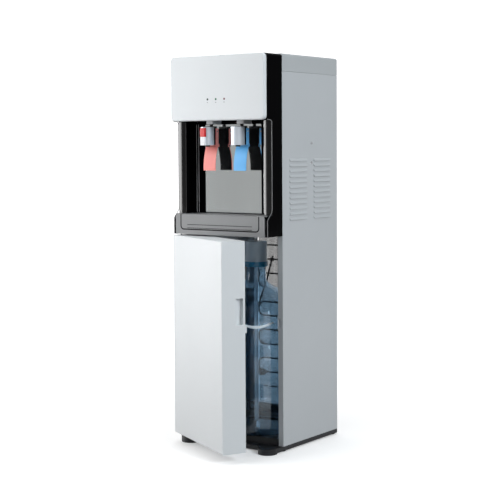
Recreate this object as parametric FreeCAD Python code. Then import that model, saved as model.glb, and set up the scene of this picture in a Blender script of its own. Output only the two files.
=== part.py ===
import FreeCAD, Part
import math
import os

# Bottom-loading water cooler, modelled as its separate pieces in millimetres.
# +Z is up, the front faces -Y and +X is the right-hand side seen from the front.
# The origin is on the floor, in the middle of the side panels' footprint.
# The bottle door is modelled part open, turned about its own hinge pins.

V = FreeCAD.Vector

# ---------------------------------------------------------------- cabinet
WIDTH = 310.0
HEIGHT = 1050.0
PANEL_DEPTH = 268.0
SHEET = 1.2
FLANGE = 15.0
REAR_FLANGE = 30.0
PLINTH_TOP = 14.5
PLINTH_BOTTOM = 3.0
PLINTH_WALL = 3.0
PLINTH_NOSE = 30.0
COVER_HEIGHT = 46.3
COVER_WALL = 2.5
COVER_ROUND = 5.0
SEAM = 0.5
SEAT_GAP = 0.2
FOOT_RADIUS = 9.0
FOOT_INSET = 12.0
LOBE_RADIUS = 26.0
LOBE_HEIGHT = 17.0
LOBE_OUT = 36.0
LOBE_INSET = 26.0
PLATFORM_TOP = 33.0
SHELF_Z = 577.5

# ---------------------------------------------------------------- louvres
LOUVRE_ROWS = 12
LOUVRE_PITCH = 14.15
LOUVRE_TOP_Z = 769.0
LOUVRE_LENGTH = 82.0
LOUVRE_FIRST_Y = 34.0
LOUVRE_COLUMN_GAP = 34.0
LOUVRE_RISE = 8.0
LOUVRE_OUT = 2.6
LOUVRE_SKIN = 0.9
PANEL_SCREW_BACK = 139.0
PANEL_SCREW_Z = (764.0, 817.0)
PANEL_SCREW_RADIUS = 3.4
PANEL_SCREW_HEAD = 1.4

# ---------------------------------------------------------------- front housing
HOUSING_OUT = 68.0
HOUSING_BOTTOM = 573.8
HOUSING_DROP = 2.0
HOUSING_WALL = 2.5
HOUSING_ROUND = 8.0
WAIST_OUT = 45.0
WAIST_LOW = 641.0
WAIST_HIGH = 872.0
TRAY_SHELF_Z = 618.0
PANEL_BOTTOM = 877.0
PANEL_THICK = 13.0
PANEL_SIDE_GAP = 1.0
PANEL_CORNER = 12.0
PANEL_EDGE = 4.0
LENS_RADIUS = 1.9
LENS_PITCH = 27.5
LENS_SHARE = 0.3275
BOARD_WIDTH = 110.0
BOARD_SHARE = 0.245
BOARD_THICK = 1.6

# ---------------------------------------------------------------- niche
NICHE_BOTTOM = 629.0
NICHE_TOP = 878.0
NICHE_INSET = 27.0
NICHE_TAPER = 4.0
NICHE_BACK_OUT = 6.0
NICHE_WALL = 2.5
POST_PROUD = 5.0
POST_BULGE = 3.8
POST_ROUND = 0.5
HOUSING_RIM = 1.4
MIRROR_HALF = 93.0
MIRROR_THICK = 0.8
MIRROR_TOP = 868.0

# ---------------------------------------------------------------- drip tray
TRAY_FACE = 3.0
TRAY_FACE_INSET = 8.0
TRAY_FACE_ROUND = 9.0
TRAY_INSET = 26.4
TRAY_FRONT_LOW = 588.0
TRAY_GROOVE = 1.4
TRAY_LOWER_ROUND = 9.0
TRAY_WALL = 2.0
TRAY_BACK_GAP = 4.0
TRAY_RIDGES = (592.0, 601.0)
TRAY_RIDGE_INSET = 50.0
TRAY_RIDGE = 2.0
TRAY_RIDGE_OUT = 1.2
GRILLE_THICK = 3.5
GRILLE_SINK = 2.5
GRILLE_SLOTS = 21
GRILLE_SLOT = 5.0
GRILLE_END = 18.6
GRILLE_RIM = 9.0

# ---------------------------------------------------------------- taps
TAP_X = 50.5
TAP_OUT = 53.0
TAP_RADIUS = 18.0
TAP_SHELL = 1.6
SLEEVE_BACK = 12.0
TAP_LOW = 812.5
TAP_HIGH = 861.0
TAP_REAR_OUT = 31.0
LEVER_WALL = 2.2
LEVER_GAP = 0.4
LEVER_REAR_OUT = 26.5
LEVER_TOP = 857.0
PIVOT_OUT = 36.0
PIVOT_Z = 849.0
PIVOT_RADIUS = 2.0
PIVOT_CLEARANCE = 0.05
PADDLE_HALF = 19.5
PADDLE_THICK = 2.6
PADDLE_ROOT_OUT = 31.5
PADDLE_BEND_Z = 752.0
PADDLE_LOW_Z = 745.0
PADDLE_OUT = 43.0
NOZZLE_RADIUS = 6.5
NOZZLE_BORE = 3.6
NOZZLE_LOW = 808.5
INLET_RADIUS = 5.0
INLET_OUT = 35.0
MOUNT_HALF = 12.0
MOUNT_HEIGHT = 9.5
LOCK_HALF = 8.0
LOCK_OUT = 22.0
LOCK_SPLIT_Z = 835.0
LOCK_TOP_Z = 858.0
LOCK_TRAVEL = 2.5
LOCK_GAP = 0.3

# ---------------------------------------------------------------- bottle door
DOOR_THICK = 66.0
DOOR_OUT = 71.0
DOOR_SIDE_GAP = 1.0
DOOR_BOTTOM = 26.5
DOOR_TOP = 570.0
DOOR_WALL = 2.5
DOOR_ROUND = 2.4
DOOR_REST_OPEN = 27.5
HINGE_INSET = 9.0
HINGE_OUT = 50.0
HINGE_PIN_RADIUS = 2.5
HINGE_CLEARANCE = 0.05
HINGE_PIN_LENGTH = 14.0
HINGE_PLATE = 2.0
BUSH_WALL = 1.7
BOSS_WALL = 1.3
LINER_WALL = 2.5
LINER_GAP = 0.3
RECESS_INSET = 43.0
RECESS_DEPTH = 40.0
RECESS_TOP = 420.0
POCKET_LOW = 356.0
POCKET_HIGH = 424.0
POCKET_WIDTH = 20.0
POCKET_REAR = 5.5
POCKET_DEPTH = 13.0
POCKET_WALL = 2.0
CATCH_WIDTH = 8.0
CATCH_LOW = 334.0
CATCH_HIGH = 352.0
CATCH_REACH = 7.0
CATCH_INSET = 5.0
CATCH_CLEARANCE = 1.5
KEEPER_DEPTH = 9.0
KEEPER_WALL = 2.0

# ---------------------------------------------------------------- bottle and probe
BOTTLE_RADIUS = 135.0
BOTTLE_BACK = 96.0
BOTTLE_HEIGHT = 490.0
BOTTLE_WALL = 1.3
BOTTLE_FOOT_RADIUS = 118.0
BOTTLE_DISH = 1.7
BOTTLE_PUNT = 6.0
BOTTLE_SHOULDER = 170.0
BOTTLE_WAISTS = (0.30, 0.51)
NECK_RADIUS = 27.5
CAP_RADIUS = 30.5
CAP_WALL = 2.0
CAP_SKIRT = 27.7
CAP_RISE = 27.3
RING_DROP = 41.7
DIP_RADIUS = 6.0
DIP_LOW_GAP = 10.0
HOSE_RADIUS = 5.0
HOSE_BEND = 16.0

# ---------------------------------------------------------------- cooling set
PASSES = 16
PASS_PITCH = 41.5
FIRST_PASS_Z = 108.0
PASS_INSET = 51.0
PASS_TUBE = 2.4
CONDENSER_BACK = 13.0
WIRES = 23
WIRE_END_GAP = 3.6
WIRE_RADIUS = 0.75
BRACKET_PASSES = (1, 14)
BRACKET_INSET = 59.0
BRACKET_ARM = 8.0
RETURN_TUBE = 2.6
RETURN_UPPER_PASS = 9
RETURN_LOWER_PASS = 6
RETURN_UPPER_X = -72.0
RETURN_LOWER_X = -119.5
RETURN_BEND = 60.0
COMPRESSOR_X = -48.0
COMPRESSOR_BACK = 168.0
COMPRESSOR_RADIUS = 64.0
COMPRESSOR_LOW = 604.0
COMPRESSOR_HIGH = 732.0
COMPRESSOR_FOOT_PITCH = 92.0
DRIER_RADIUS = 9.0
DRIER_LENGTH = 90.0

# ---------------------------------------------------------------- tanks and pump
COLD_X = 62.0
HOT_X = -66.0
TANK_BACK = 92.0
TANK_LOW = 772.0
COLD_RADIUS = 55.0
COLD_DROP = 100.0
HOT_RADIUS = 44.0
HOT_DROP = 120.0
TANK_WALL = 1.5
JACKET = 16.0
JACKET_GAP = 0.5
PUMP_X = 78.0
PUMP_BACK = 62.0
PUMP_RADIUS = 24.0
PUMP_HEIGHT = 74.0
PUMP_FOOT = (30.0, 22.0)
PUMP_OUTLET = 16.0

# ---------------------------------------------------------------- rear fittings
SWITCH_X = 48.0
SWITCH_Z = 880.0
SWITCH_PITCH = 34.0
SWITCH_WIDTH = 15.0
SWITCH_HEIGHT = 21.0
SWITCH_TILT = 9.0
SWITCH_GAP = 0.5
SWITCH_DEPTH = 12.0
VENT_ROWS = 9
VENT_PITCH = 13.0
VENT_LENGTH = 74.0
VENT_HEIGHT = 4.0
VENT_LOW_Z = 640.0
DRAIN_X = -96.0
DRAIN_Z = 800.0
DRAIN_RADIUS = 8.0
DRAIN_LENGTH = 22.0
DRAIN_WALL = 2.0
CORD_X = 96.0
CORD_Z = 800.0
CORD_BORE = 3.6
CORD_GLAND_RADIUS = 8.0

# ---------------------------------------------------------------- derived places
HALF = WIDTH / 2
INNER = HALF - SHEET
FRONT = -PANEL_DEPTH / 2
REAR = PANEL_DEPTH / 2
COVER_BOTTOM = HEIGHT - COVER_HEIGHT
PANEL_TOP = COVER_BOTTOM - SEAM
BOTTLE_Y = FRONT + BOTTLE_BACK
BOTTLE_BASE = PLATFORM_TOP - BOTTLE_DISH + SEAT_GAP
TAP_Y = FRONT - TAP_OUT
NICHE_BACK = FRONT - NICHE_BACK_OUT
CONDENSER_Y = REAR + CONDENSER_BACK
HINGE_X = -HALF + HINGE_INSET
HINGE_Y = FRONT - HINGE_OUT
HOUSING_TOP = HEIGHT - HOUSING_DROP
LENS_Z = PANEL_BOTTOM + LENS_SHARE * (HOUSING_TOP - PANEL_BOTTOM)
BOARD_HEIGHT = BOARD_SHARE * (HOUSING_TOP - PANEL_BOTTOM)
LOBE_X = HALF - LOBE_INSET
NICHE_HALF = HALF - NICHE_INSET
NICHE_BACK_HALF = NICHE_HALF - NICHE_TAPER
TRAY_FACE_HALF = HALF - TRAY_FACE_INSET
TRAY_HALF = HALF - TRAY_INSET
TRAY_RIDGE_HALF = HALF - TRAY_RIDGE_INSET
GRILLE_PITCH = 2 * (TRAY_HALF - GRILLE_END) / (GRILLE_SLOTS - 1)
RECESS_HALF = HALF - RECESS_INSET
BOTTLE_TOP = BOTTLE_BASE + BOTTLE_HEIGHT
CAP_LOW = BOTTLE_TOP - CAP_SKIRT
CAP_HIGH = BOTTLE_TOP + CAP_RISE
RING_LOW = BOTTLE_TOP - RING_DROP
PASS_HALF = HALF - PASS_INSET
BRACKET_INNER_X = HALF - BRACKET_INSET
WIRE_PITCH = 2 * (BRACKET_INNER_X - WIRE_END_GAP) / (WIRES - 1)
COLD_HIGH = HEIGHT - COLD_DROP
HOT_HIGH = HEIGHT - HOT_DROP


def box(x, y, z):
    """A block between three (low, high) pairs."""
    size = (x[1] - x[0], y[1] - y[0], z[1] - z[0])
    return Part.makeBox(size[0], size[1], size[2], V(x[0], y[0], z[0]))


def post(x, y, radius, low, high):
    """An upright cylinder."""
    return Part.makeCylinder(radius, high - low, V(x, y, low))


def rod(start, end, radius):
    """A cylinder between two points."""
    return Part.makeCylinder(radius, (end - start).Length, start, end - start)


def prism(points, along):
    """A straight extrusion of a closed outline."""
    wire = Part.makePolygon(list(points) + [points[0]])
    return Part.Face(wire).extrude(along)


def revolve(outline, x, y):
    """A solid of revolution from (radius, height) pairs, about an upright axis at x, y."""
    wire = Part.makePolygon([V(r, 0, z) for r, z in outline + outline[:1]])
    solid = Part.Face(wire).revolve(V(0, 0, 0), V(0, 0, 1), 360)
    solid.translate(V(x, y, 0))
    return solid


def pipe(points, radius, bend):
    """A round pipe along straight runs that are joined by tangent arcs."""
    edges = []
    start = points[0]
    for before, corner, after in zip(points, points[1:], points[2:]):
        back = (before - corner).normalize()
        ahead = (after - corner).normalize()
        half = back.getAngle(ahead) / 2
        reach = bend / math.tan(half)
        inward = (back + ahead).normalize()
        middle = corner + inward * (bend / math.sin(half) - bend)
        arc_start = corner + back * reach
        arc_end = corner + ahead * reach
        edges.append(Part.LineSegment(start, arc_start).toShape())
        edges.append(Part.Arc(arc_start, middle, arc_end).toShape())
        start = arc_end
    edges.append(Part.LineSegment(start, points[-1]).toShape())
    return sweep(edges, radius)


def sweep(edges, radius):
    """A round tube whose centre line is a chain of edges."""
    spine = Part.Wire(edges)
    first = edges[0]
    start = first.valueAt(first.FirstParameter)
    ring = Part.Circle(start, first.tangentAt(first.FirstParameter), radius)
    return spine.makePipeShell([Part.Wire(ring.toShape())], True, False)


def soften(shape, radius, wanted):
    """Round every edge whose middle point satisfies a test."""
    edges = [edge for edge in shape.Edges if wanted(edge.CenterOfMass, edge)]
    return shape.makeFillet(radius, edges)


def upright(edge):
    """True for a straight vertical edge."""
    ends = [vertex.Point for vertex in edge.Vertexes]
    if len(ends) != 2:
        return False
    return math.hypot(ends[1].x - ends[0].x, ends[1].y - ends[0].y) < 1e-6


def along_y(edge):
    """True for a straight edge that runs front to back."""
    ends = [vertex.Point for vertex in edge.Vertexes]
    if len(ends) != 2:
        return False
    return math.hypot(ends[1].x - ends[0].x, ends[1].z - ends[0].z) < 1e-6


def mirrored(shape):
    """The same piece on the other side of the cooler."""
    return shape.mirror(V(0, 0, 0), V(1, 0, 0))


def both_sides(shape):
    """A piece and its mirror image, as two solids."""
    return Part.Compound([shape, mirrored(shape)])


def save(name, shape):
    """Write one sub-part."""
    shape.exportStep("parts/" + name + ".step")


# ================================================================ base and cabinet
def base_plinth():
    """Black moulded plinth with two round lobes that stand out in front of the door."""
    half = HALF - SEAM
    front = FRONT - PLINTH_NOSE
    plate = box((-half, half), (front, REAR), (PLINTH_BOTTOM, PLINTH_TOP))
    low = (PLINTH_BOTTOM - 1, PLINTH_TOP - PLINTH_WALL)
    bay_half = half / 2 - PLINTH_WALL
    bay_depth = (REAR - front) / 3
    bays = []
    for side in (-1, 1):
        for row in range(3):
            centre = side * half / 2
            start = front + row * bay_depth + PLINTH_WALL
            end = front + (row + 1) * bay_depth - PLINTH_WALL
            bays.append(box((centre - bay_half, centre + bay_half), (start, end), low))
    plate = plate.cut(Part.Compound(bays))
    lobe = post(LOBE_X, FRONT - LOBE_OUT, LOBE_RADIUS, 0, LOBE_HEIGHT)
    lobe = soften(lobe, 3.0, lambda middle, edge: middle.z > LOBE_HEIGHT - 0.1)
    solid = plate.fuse([lobe, mirrored(lobe)]).removeSplitter()
    sockets = [post(x, y, FOOT_RADIUS / 2, PLINTH_BOTTOM - 1, PLINTH_TOP - PLINTH_WALL + 1.5)
               for x, y in foot_places()]
    return solid.cut(Part.Compound(sockets))


def foot_places():
    """Centres of the four levelling feet."""
    x = HALF - FOOT_INSET
    return [(sx * x, y) for sx in (-1, 1) for y in (FRONT + FOOT_INSET, REAR - FOOT_INSET)]


def levelling_feet():
    """Four rubber-soled feet, each with a stub in its socket."""
    feet = []
    for x, y in foot_places():
        sole = post(x, y, FOOT_RADIUS, 0, PLINTH_BOTTOM - SEAT_GAP)
        stub = post(x, y, FOOT_RADIUS / 2 - SEAT_GAP, 1.0, PLINTH_TOP - PLINTH_WALL)
        feet.append(sole.fuse(stub).removeSplitter())
    return Part.Compound(feet)


def bottle_platform():
    """Raised floor between the side panels, with a shallow dish for the bottle."""
    half = INNER - FLANGE + SHEET - SEAT_GAP
    deep = INNER - SEAT_GAP
    low = PLINTH_TOP + SEAT_GAP
    behind = FRONT + SHEET + SEAT_GAP
    front = FRONT - (DOOR_OUT - DOOR_THICK) + 3.5
    body = box((-half, half), (front, REAR - SHEET - SEAT_GAP), (low, PLATFORM_TOP))
    wings = box((-deep, deep), (behind, REAR - SHEET - SEAT_GAP), (low, PLATFORM_TOP))
    body = body.fuse(wings).removeSplitter()
    hollow = box((-half + 4, half - 4), (front + 4, REAR - SHEET - 6), (low - 1, PLATFORM_TOP - 6))
    ribs = [box((x - 1.5, x + 1.5), (front, REAR), (low, PLATFORM_TOP)) for x in (-70, 0, 70)]
    body = body.cut(hollow.cut(Part.Compound(ribs)))
    dish = post(0, BOTTLE_Y, BOTTLE_FOOT_RADIUS + 5, PLATFORM_TOP - BOTTLE_DISH, PLATFORM_TOP + 1)
    return body.cut(dish)


def louvre_places():
    """Low front corner of each louvre, as (front y, lip z)."""
    places = []
    for column in range(2):
        y = FRONT + LOUVRE_FIRST_Y + column * (LOUVRE_LENGTH + LOUVRE_COLUMN_GAP)
        for row in range(LOUVRE_ROWS):
            places.append((y, LOUVRE_TOP_Z - row * LOUVRE_PITCH))
    return places


def side_panel():
    """Right-hand sheet panel: folded edges, pressed louvres and the catch notch."""
    skin = box((INNER, HALF), (FRONT, REAR), (PLINTH_TOP + SEAT_GAP, PANEL_TOP))
    height = (PLINTH_TOP + SEAT_GAP, PANEL_TOP)
    front_fold = box((HALF - FLANGE, HALF), (FRONT, FRONT + SHEET), height)
    rear_fold = box((HALF - REAR_FLANGE, HALF), (REAR - SHEET, REAR), height)
    panel = skin.fuse([front_fold, rear_fold]).removeSplitter()
    slots = []
    hoods = []
    for y, z in louvre_places():
        slots.append(box((INNER - 1, HALF + 1), (y + 1, y + LOUVRE_LENGTH - 1),
                         (z, z + LOUVRE_RISE - 2)))
        hoods.append(louvre_hood(y, z))
    panel = panel.cut(Part.Compound(slots))
    panel = panel.fuse(hoods)
    holes = [rod(V(INNER - 2, FRONT + PANEL_SCREW_BACK, z), V(HALF + 2, FRONT + PANEL_SCREW_BACK, z),
                 PANEL_SCREW_RADIUS / 2) for z in PANEL_SCREW_Z]
    return panel.cut(Part.Compound(holes))


def louvre_hood(y, z):
    """One pressed hood: a sloping skin with closed ends, open along its lower lip."""
    top = z + LOUVRE_RISE
    skin = [V(HALF - LOUVRE_SKIN / 2, y, top), V(HALF + LOUVRE_OUT, y, z + 1),
            V(HALF + LOUVRE_OUT, y, z), V(HALF + LOUVRE_OUT - LOUVRE_SKIN, y, z),
            V(HALF - LOUVRE_SKIN, y, top - 2.5)]
    slope = prism(skin, V(0, LOUVRE_LENGTH, 0))
    end = [V(HALF - LOUVRE_SKIN / 2, y, top), V(HALF + LOUVRE_OUT, y, z + 1),
           V(HALF + LOUVRE_OUT, y, z), V(HALF - LOUVRE_SKIN / 2, y, z)]
    near = prism(end, V(0, 1, 0))
    far = near.translated(V(0, LOUVRE_LENGTH - 1, 0))
    return slope.fuse([near, far]).removeSplitter()


def notched_panel():
    """The right-hand panel, whose front fold lets the door catch through."""
    low, high = catch_opening_z()
    notch = box((HALF - FLANGE - 1, catch_x()[1] + CATCH_CLEARANCE),
                (FRONT - 1, FRONT + SHEET + 1), (low, high))
    return side_panel().cut(notch)


def side_screws():
    """Domed screws in the side panels, two on each side."""
    screws = []
    for z in PANEL_SCREW_Z:
        y = FRONT + PANEL_SCREW_BACK
        head = rod(V(HALF + 0.05, y, z), V(HALF + PANEL_SCREW_HEAD, y, z), PANEL_SCREW_RADIUS)
        shank = rod(V(HALF - 6, y, z), V(HALF + 0.5, y, z), PANEL_SCREW_RADIUS / 2 - 0.1)
        screws.append(head.fuse(shank).removeSplitter())
    return Part.Compound(screws + [mirrored(screw) for screw in screws])


def top_cover():
    """Moulded cap with a skirt, rounded along its top edges."""
    outer = box((-HALF, HALF), (FRONT, REAR), (COVER_BOTTOM, HEIGHT))
    outer = soften(outer, COVER_ROUND, lambda middle, edge: middle.z > HEIGHT - 0.1)
    inner = box((-HALF + COVER_WALL, HALF - COVER_WALL), (FRONT + COVER_WALL, REAR - COVER_WALL),
                (COVER_BOTTOM - 1, HEIGHT - COVER_WALL))
    cover = outer.cut(inner)
    ribs = [box((x - 1, x + 1), (FRONT + 1, REAR - 1), (HEIGHT - 14, HEIGHT - 1)) for x in (-60, 60)]
    return cover.fuse(ribs).removeSplitter()


def rear_panel():
    """Sheet panel behind the tanks, with vents, switch windows, drain and cord holes."""
    y = (REAR - 2 * SHEET - SEAT_GAP, REAR - SHEET - SEAT_GAP)
    half = INNER - SEAT_GAP
    panel = box((-half, half), y, (SHELF_Z + SHEET + SEAT_GAP, PANEL_TOP))
    through = (y[0] - 1, y[1] + 1)
    cuts = []
    for side in (-1, 1):
        for row in range(VENT_ROWS):
            z = VENT_LOW_Z + row * VENT_PITCH
            x = side * (VENT_LENGTH / 2 + 12)
            cuts.append(box((x - VENT_LENGTH / 2, x + VENT_LENGTH / 2), through,
                            (z, z + VENT_HEIGHT)))
    for index in range(2):
        x = switch_x(index)
        grow = SWITCH_GAP
        cuts.append(box((x - SWITCH_WIDTH / 2 - grow, x + SWITCH_WIDTH / 2 + grow), through,
                        (SWITCH_Z - SWITCH_HEIGHT / 2 - grow, SWITCH_Z + SWITCH_HEIGHT / 2 + grow)))
    cuts.append(rod(V(DRAIN_X, through[0], DRAIN_Z), V(DRAIN_X, through[1], DRAIN_Z),
                    DRAIN_RADIUS + SEAT_GAP))
    cuts.append(rod(V(CORD_X, through[0], CORD_Z), V(CORD_X, through[1], CORD_Z),
                    CORD_GLAND_RADIUS - 1.5))
    return panel.cut(Part.Compound(cuts))


def compressor_shelf():
    """Folded sheet deck that carries the compressor and the pump over the bottle."""
    x = INNER - SEAT_GAP
    y = (FRONT + SHEET + SEAT_GAP, REAR - 2 * SHEET - 2 * SEAT_GAP)
    deck = box((-x, x), y, (SHELF_Z, SHELF_Z + SHEET))
    lips = [box((side * x - (SHEET if side > 0 else 0), side * x + (0 if side > 0 else SHEET)),
                y, (SHELF_Z, SHELF_Z + 14)) for side in (-1, 1)]
    deck = deck.fuse(lips).removeSplitter()
    hose_hole = post(0, BOTTLE_Y, HOSE_RADIUS + 2, SHELF_Z - 1, SHELF_Z + SHEET + 1)
    return deck.cut(hose_hole)


# ================================================================ front housing
def housing_profile(inset):
    """Side outline of the black housing, drawn in by a wall thickness."""
    out = FRONT - HOUSING_OUT + inset
    waist = FRONT - WAIST_OUT + inset
    back = FRONT - SEAT_GAP + (2 if inset else 0)
    shift = inset * 0.4
    return [V(0, back, HOUSING_BOTTOM + inset), V(0, out, HOUSING_BOTTOM + inset),
            V(0, out, TRAY_SHELF_Z - shift), V(0, waist, WAIST_LOW - shift),
            V(0, waist, WAIST_HIGH + shift), V(0, out, WAIST_HIGH + 10 + shift),
            V(0, out, HOUSING_TOP - inset), V(0, back, HOUSING_TOP - inset)]


def housing_block(half, inset):
    """The housing's outline as a block across the cooler."""
    points = [V(-half, p.y, p.z) for p in housing_profile(inset)]
    return prism(points, V(2 * half, 0, 0))


def front_housing():
    """Gloss black housing: waisted at the niche, open behind and round the tray."""
    outer = housing_block(HALF, 0)
    outer = soften(outer, HOUSING_ROUND, lambda m, e: m.z > HOUSING_TOP - 0.1 and m.y > FRONT - 66
                   and along_y(e))
    outer = soften(outer, 6.0, lambda m, e: abs(m.z - WAIST_LOW) < 0.1 and abs(m.x) < 1)
    outer = soften(outer, HOUSING_RIM, lambda m, e: abs(abs(m.x) - HALF) < 0.01
                   and TRAY_SHELF_Z - 1 < m.z < PANEL_BOTTOM and m.y < FRONT - SEAT_GAP - 1)
    shell = outer.cut(housing_block(HALF - HOUSING_WALL, HOUSING_WALL))
    opening = NICHE_HALF + NICHE_WALL + SEAT_GAP
    niche = box((-opening, opening), (FRONT - HOUSING_OUT - 5, FRONT - WAIST_OUT + HOUSING_WALL + 1),
                (NICHE_BOTTOM - 14, NICHE_TOP + NICHE_WALL + SEAT_GAP))
    tray_hole = box(tray_box_x(SEAT_GAP), (FRONT - HOUSING_OUT - 1, FRONT - WAIST_OUT + 5),
                    (tray_floor_z() - SEAT_GAP, NICHE_BOTTOM))
    pin_hole = post(HINGE_X, HINGE_Y, HINGE_PIN_RADIUS + HINGE_CLEARANCE,
                    HOUSING_BOTTOM - 1, HOUSING_BOTTOM + HOUSING_WALL + 1)
    ledge = box((-TRAY_FACE_HALF - SEAT_GAP, TRAY_FACE_HALF + SEAT_GAP),
                (FRONT - HOUSING_OUT - 5, FRONT - WAIST_OUT), (tray_ledge_z() - SEAT_GAP, WAIST_LOW))
    posts = both_sides(box((NICHE_HALF, HALF + 1), (niche_front() - 30, niche_front() + POST_PROUD),
                           (NICHE_BOTTOM - SEAT_GAP, PANEL_BOTTOM)))
    shell = shell.cut(Part.Compound([niche, tray_hole, pin_hole, ledge])).cut(posts)
    slots = [box((x - 2.2, x + 2.2), (FRONT - HOUSING_OUT - 1, FRONT - HOUSING_OUT + 4),
                 (LENS_Z - 2.2, LENS_Z + 2.2)) for x in lens_places()]
    return shell.cut(Part.Compound(slots))


def control_panel():
    """White front plate with round corners and a soft front edge."""
    half = HALF - PANEL_SIDE_GAP
    back = FRONT - HOUSING_OUT - SEAT_GAP
    plate = box((-half, half), (back - PANEL_THICK, back), (PANEL_BOTTOM, HOUSING_TOP))
    plate = soften(plate, PANEL_CORNER, lambda m, e: along_y(e))
    plate = soften(plate, PANEL_EDGE, lambda m, e: m.y < back - PANEL_THICK + 0.1)
    relief = box((-half + 14, half - 14), (back - PANEL_THICK + 3, back + 1),
                 (PANEL_BOTTOM + 14, HOUSING_TOP - 14))
    ribs = [box((x - 1, x + 1), (back - PANEL_THICK, back + 1), (PANEL_BOTTOM, HOUSING_TOP))
            for x in (-90, 90)]
    plate = plate.cut(relief.cut(Part.Compound(ribs)))
    holes = [rod(V(x, back - PANEL_THICK - 1, LENS_Z), V(x, back, LENS_Z), LENS_RADIUS)
             for x in lens_places()]
    return plate.cut(Part.Compound(holes))


def lens_places():
    """Positions of the three indicator lights across the panel."""
    return [LENS_PITCH * step for step in (-1, 0, 1)]


def indicator_lenses():
    """Three light pipes that end flush with the control panel."""
    face = FRONT - HOUSING_OUT - SEAT_GAP - PANEL_THICK
    lenses = []
    for x in lens_places():
        stem = rod(V(x, face + 0.1, LENS_Z), V(x, face + 8, LENS_Z), LENS_RADIUS - 0.1)
        collar = rod(V(x, face + 3.2, LENS_Z), V(x, face + 5, LENS_Z), LENS_RADIUS + 1)
        lenses.append(stem.fuse(collar).removeSplitter())
    return Part.Compound(lenses)


def control_board():
    """Circuit board with its lamps and a connector, on two posts behind the panel."""
    front = FRONT - HOUSING_OUT - SEAT_GAP - PANEL_THICK + 9.0
    z = (LENS_Z - BOARD_HEIGHT / 2, LENS_Z + BOARD_HEIGHT / 2)
    back = FRONT - HOUSING_OUT - SEAT_GAP
    board = box((-BOARD_WIDTH / 2, BOARD_WIDTH / 2), (front, front + BOARD_THICK), z)
    lamps = [rod(V(x, front - 0.8, LENS_Z), V(x, front, LENS_Z), 1.4) for x in lens_places()]
    plug = box((20, 38), (front + BOARD_THICK, back), (z[0] + 2, z[0] + BOARD_HEIGHT / 4))
    low = LENS_Z - BOARD_HEIGHT / 3
    posts = [rod(V(x, front + BOARD_THICK, low), V(x, back, low), 2.5)
             for x in (-BOARD_WIDTH / 2 + 5, BOARD_WIDTH / 2 - 5)]
    return board.fuse(lamps + [plug] + posts).removeSplitter()


# ================================================================ niche
def niche_front():
    """Front plane of the posts beside the niche."""
    return FRONT - WAIST_OUT - POST_PROUD


def niche_plan(extra, back_extra, z):
    """Plan outline of the niche, wider at the front than at the back."""
    front = niche_front() + POST_BULGE
    back = NICHE_BACK + back_extra
    return [V(-NICHE_HALF - extra, front, z), V(NICHE_HALF + extra, front, z),
            V(NICHE_BACK_HALF + extra, back, z), V(-NICHE_BACK_HALF - extra, back, z)]


def niche_liner():
    """Gloss black niche: rounded posts, side walls, back wall and ceiling."""
    low = NICHE_BOTTOM
    outer = prism(niche_plan(NICHE_WALL, NICHE_WALL, low), V(0, 0, NICHE_TOP + NICHE_WALL - low))
    inner = prism(niche_plan(0, 0, low - 1), V(0, 0, NICHE_TOP - low + 1))
    right = niche_post()
    walls = outer.cut(inner)
    liner = walls.fuse([right, mirrored(right)]).removeSplitter()
    ports = [post(side * TAP_X, FRONT - INLET_OUT, INLET_RADIUS + 0.5, NICHE_TOP - 1,
                  NICHE_TOP + NICHE_WALL + 1) for side in (-1, 1)]
    return liner.cut(Part.Compound(ports))


def niche_post():
    """Right-hand post beside the niche, bowed across its front."""
    front = niche_front()
    shoulder = front + POST_BULGE
    back = front + POST_PROUD - SEAT_GAP
    low = NICHE_BOTTOM
    bow = Part.Arc(V(NICHE_HALF, shoulder, low), V((NICHE_HALF + HALF) / 2, front, low),
                   V(HALF, shoulder, low)).toShape()
    corners = [V(HALF, shoulder, low), V(HALF, back, low), V(NICHE_HALF, back, low),
               V(NICHE_HALF, shoulder, low)]
    sides = [Part.makeLine(a, b) for a, b in zip(corners, corners[1:])]
    post_solid = Part.Face(Part.Wire([bow] + sides)).extrude(V(0, 0, PANEL_BOTTOM - 0.5 - low))
    return soften(post_solid, POST_ROUND, lambda m, e: upright(e) and m.x > HALF - 0.1
                  and m.y < shoulder + 0.1)


def niche_back_plate():
    """Polished sheet over the back wall, behind the taps."""
    y = NICHE_BACK - MIRROR_THICK
    plate = box((-MIRROR_HALF, MIRROR_HALF), (y - 0.05, NICHE_BACK - 0.05), (NICHE_BOTTOM + 1, MIRROR_TOP))
    return soften(plate, 3.0, lambda m, e: along_y(e))


# ================================================================ drip tray
def tray_floor_z():
    """Underside of the tray frame's box."""
    return HOUSING_BOTTOM + HOUSING_WALL + 2 * SEAT_GAP + 2


def tray_ledge_z():
    """Underside of the ledges between the frame's face and the niche posts."""
    return TRAY_SHELF_Z + 8


def tray_box_x(extra):
    """Sides of the tray frame's box behind its face."""
    half = TRAY_HALF + TRAY_GROOVE + TRAY_WALL + extra
    return (-half, half)


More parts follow.
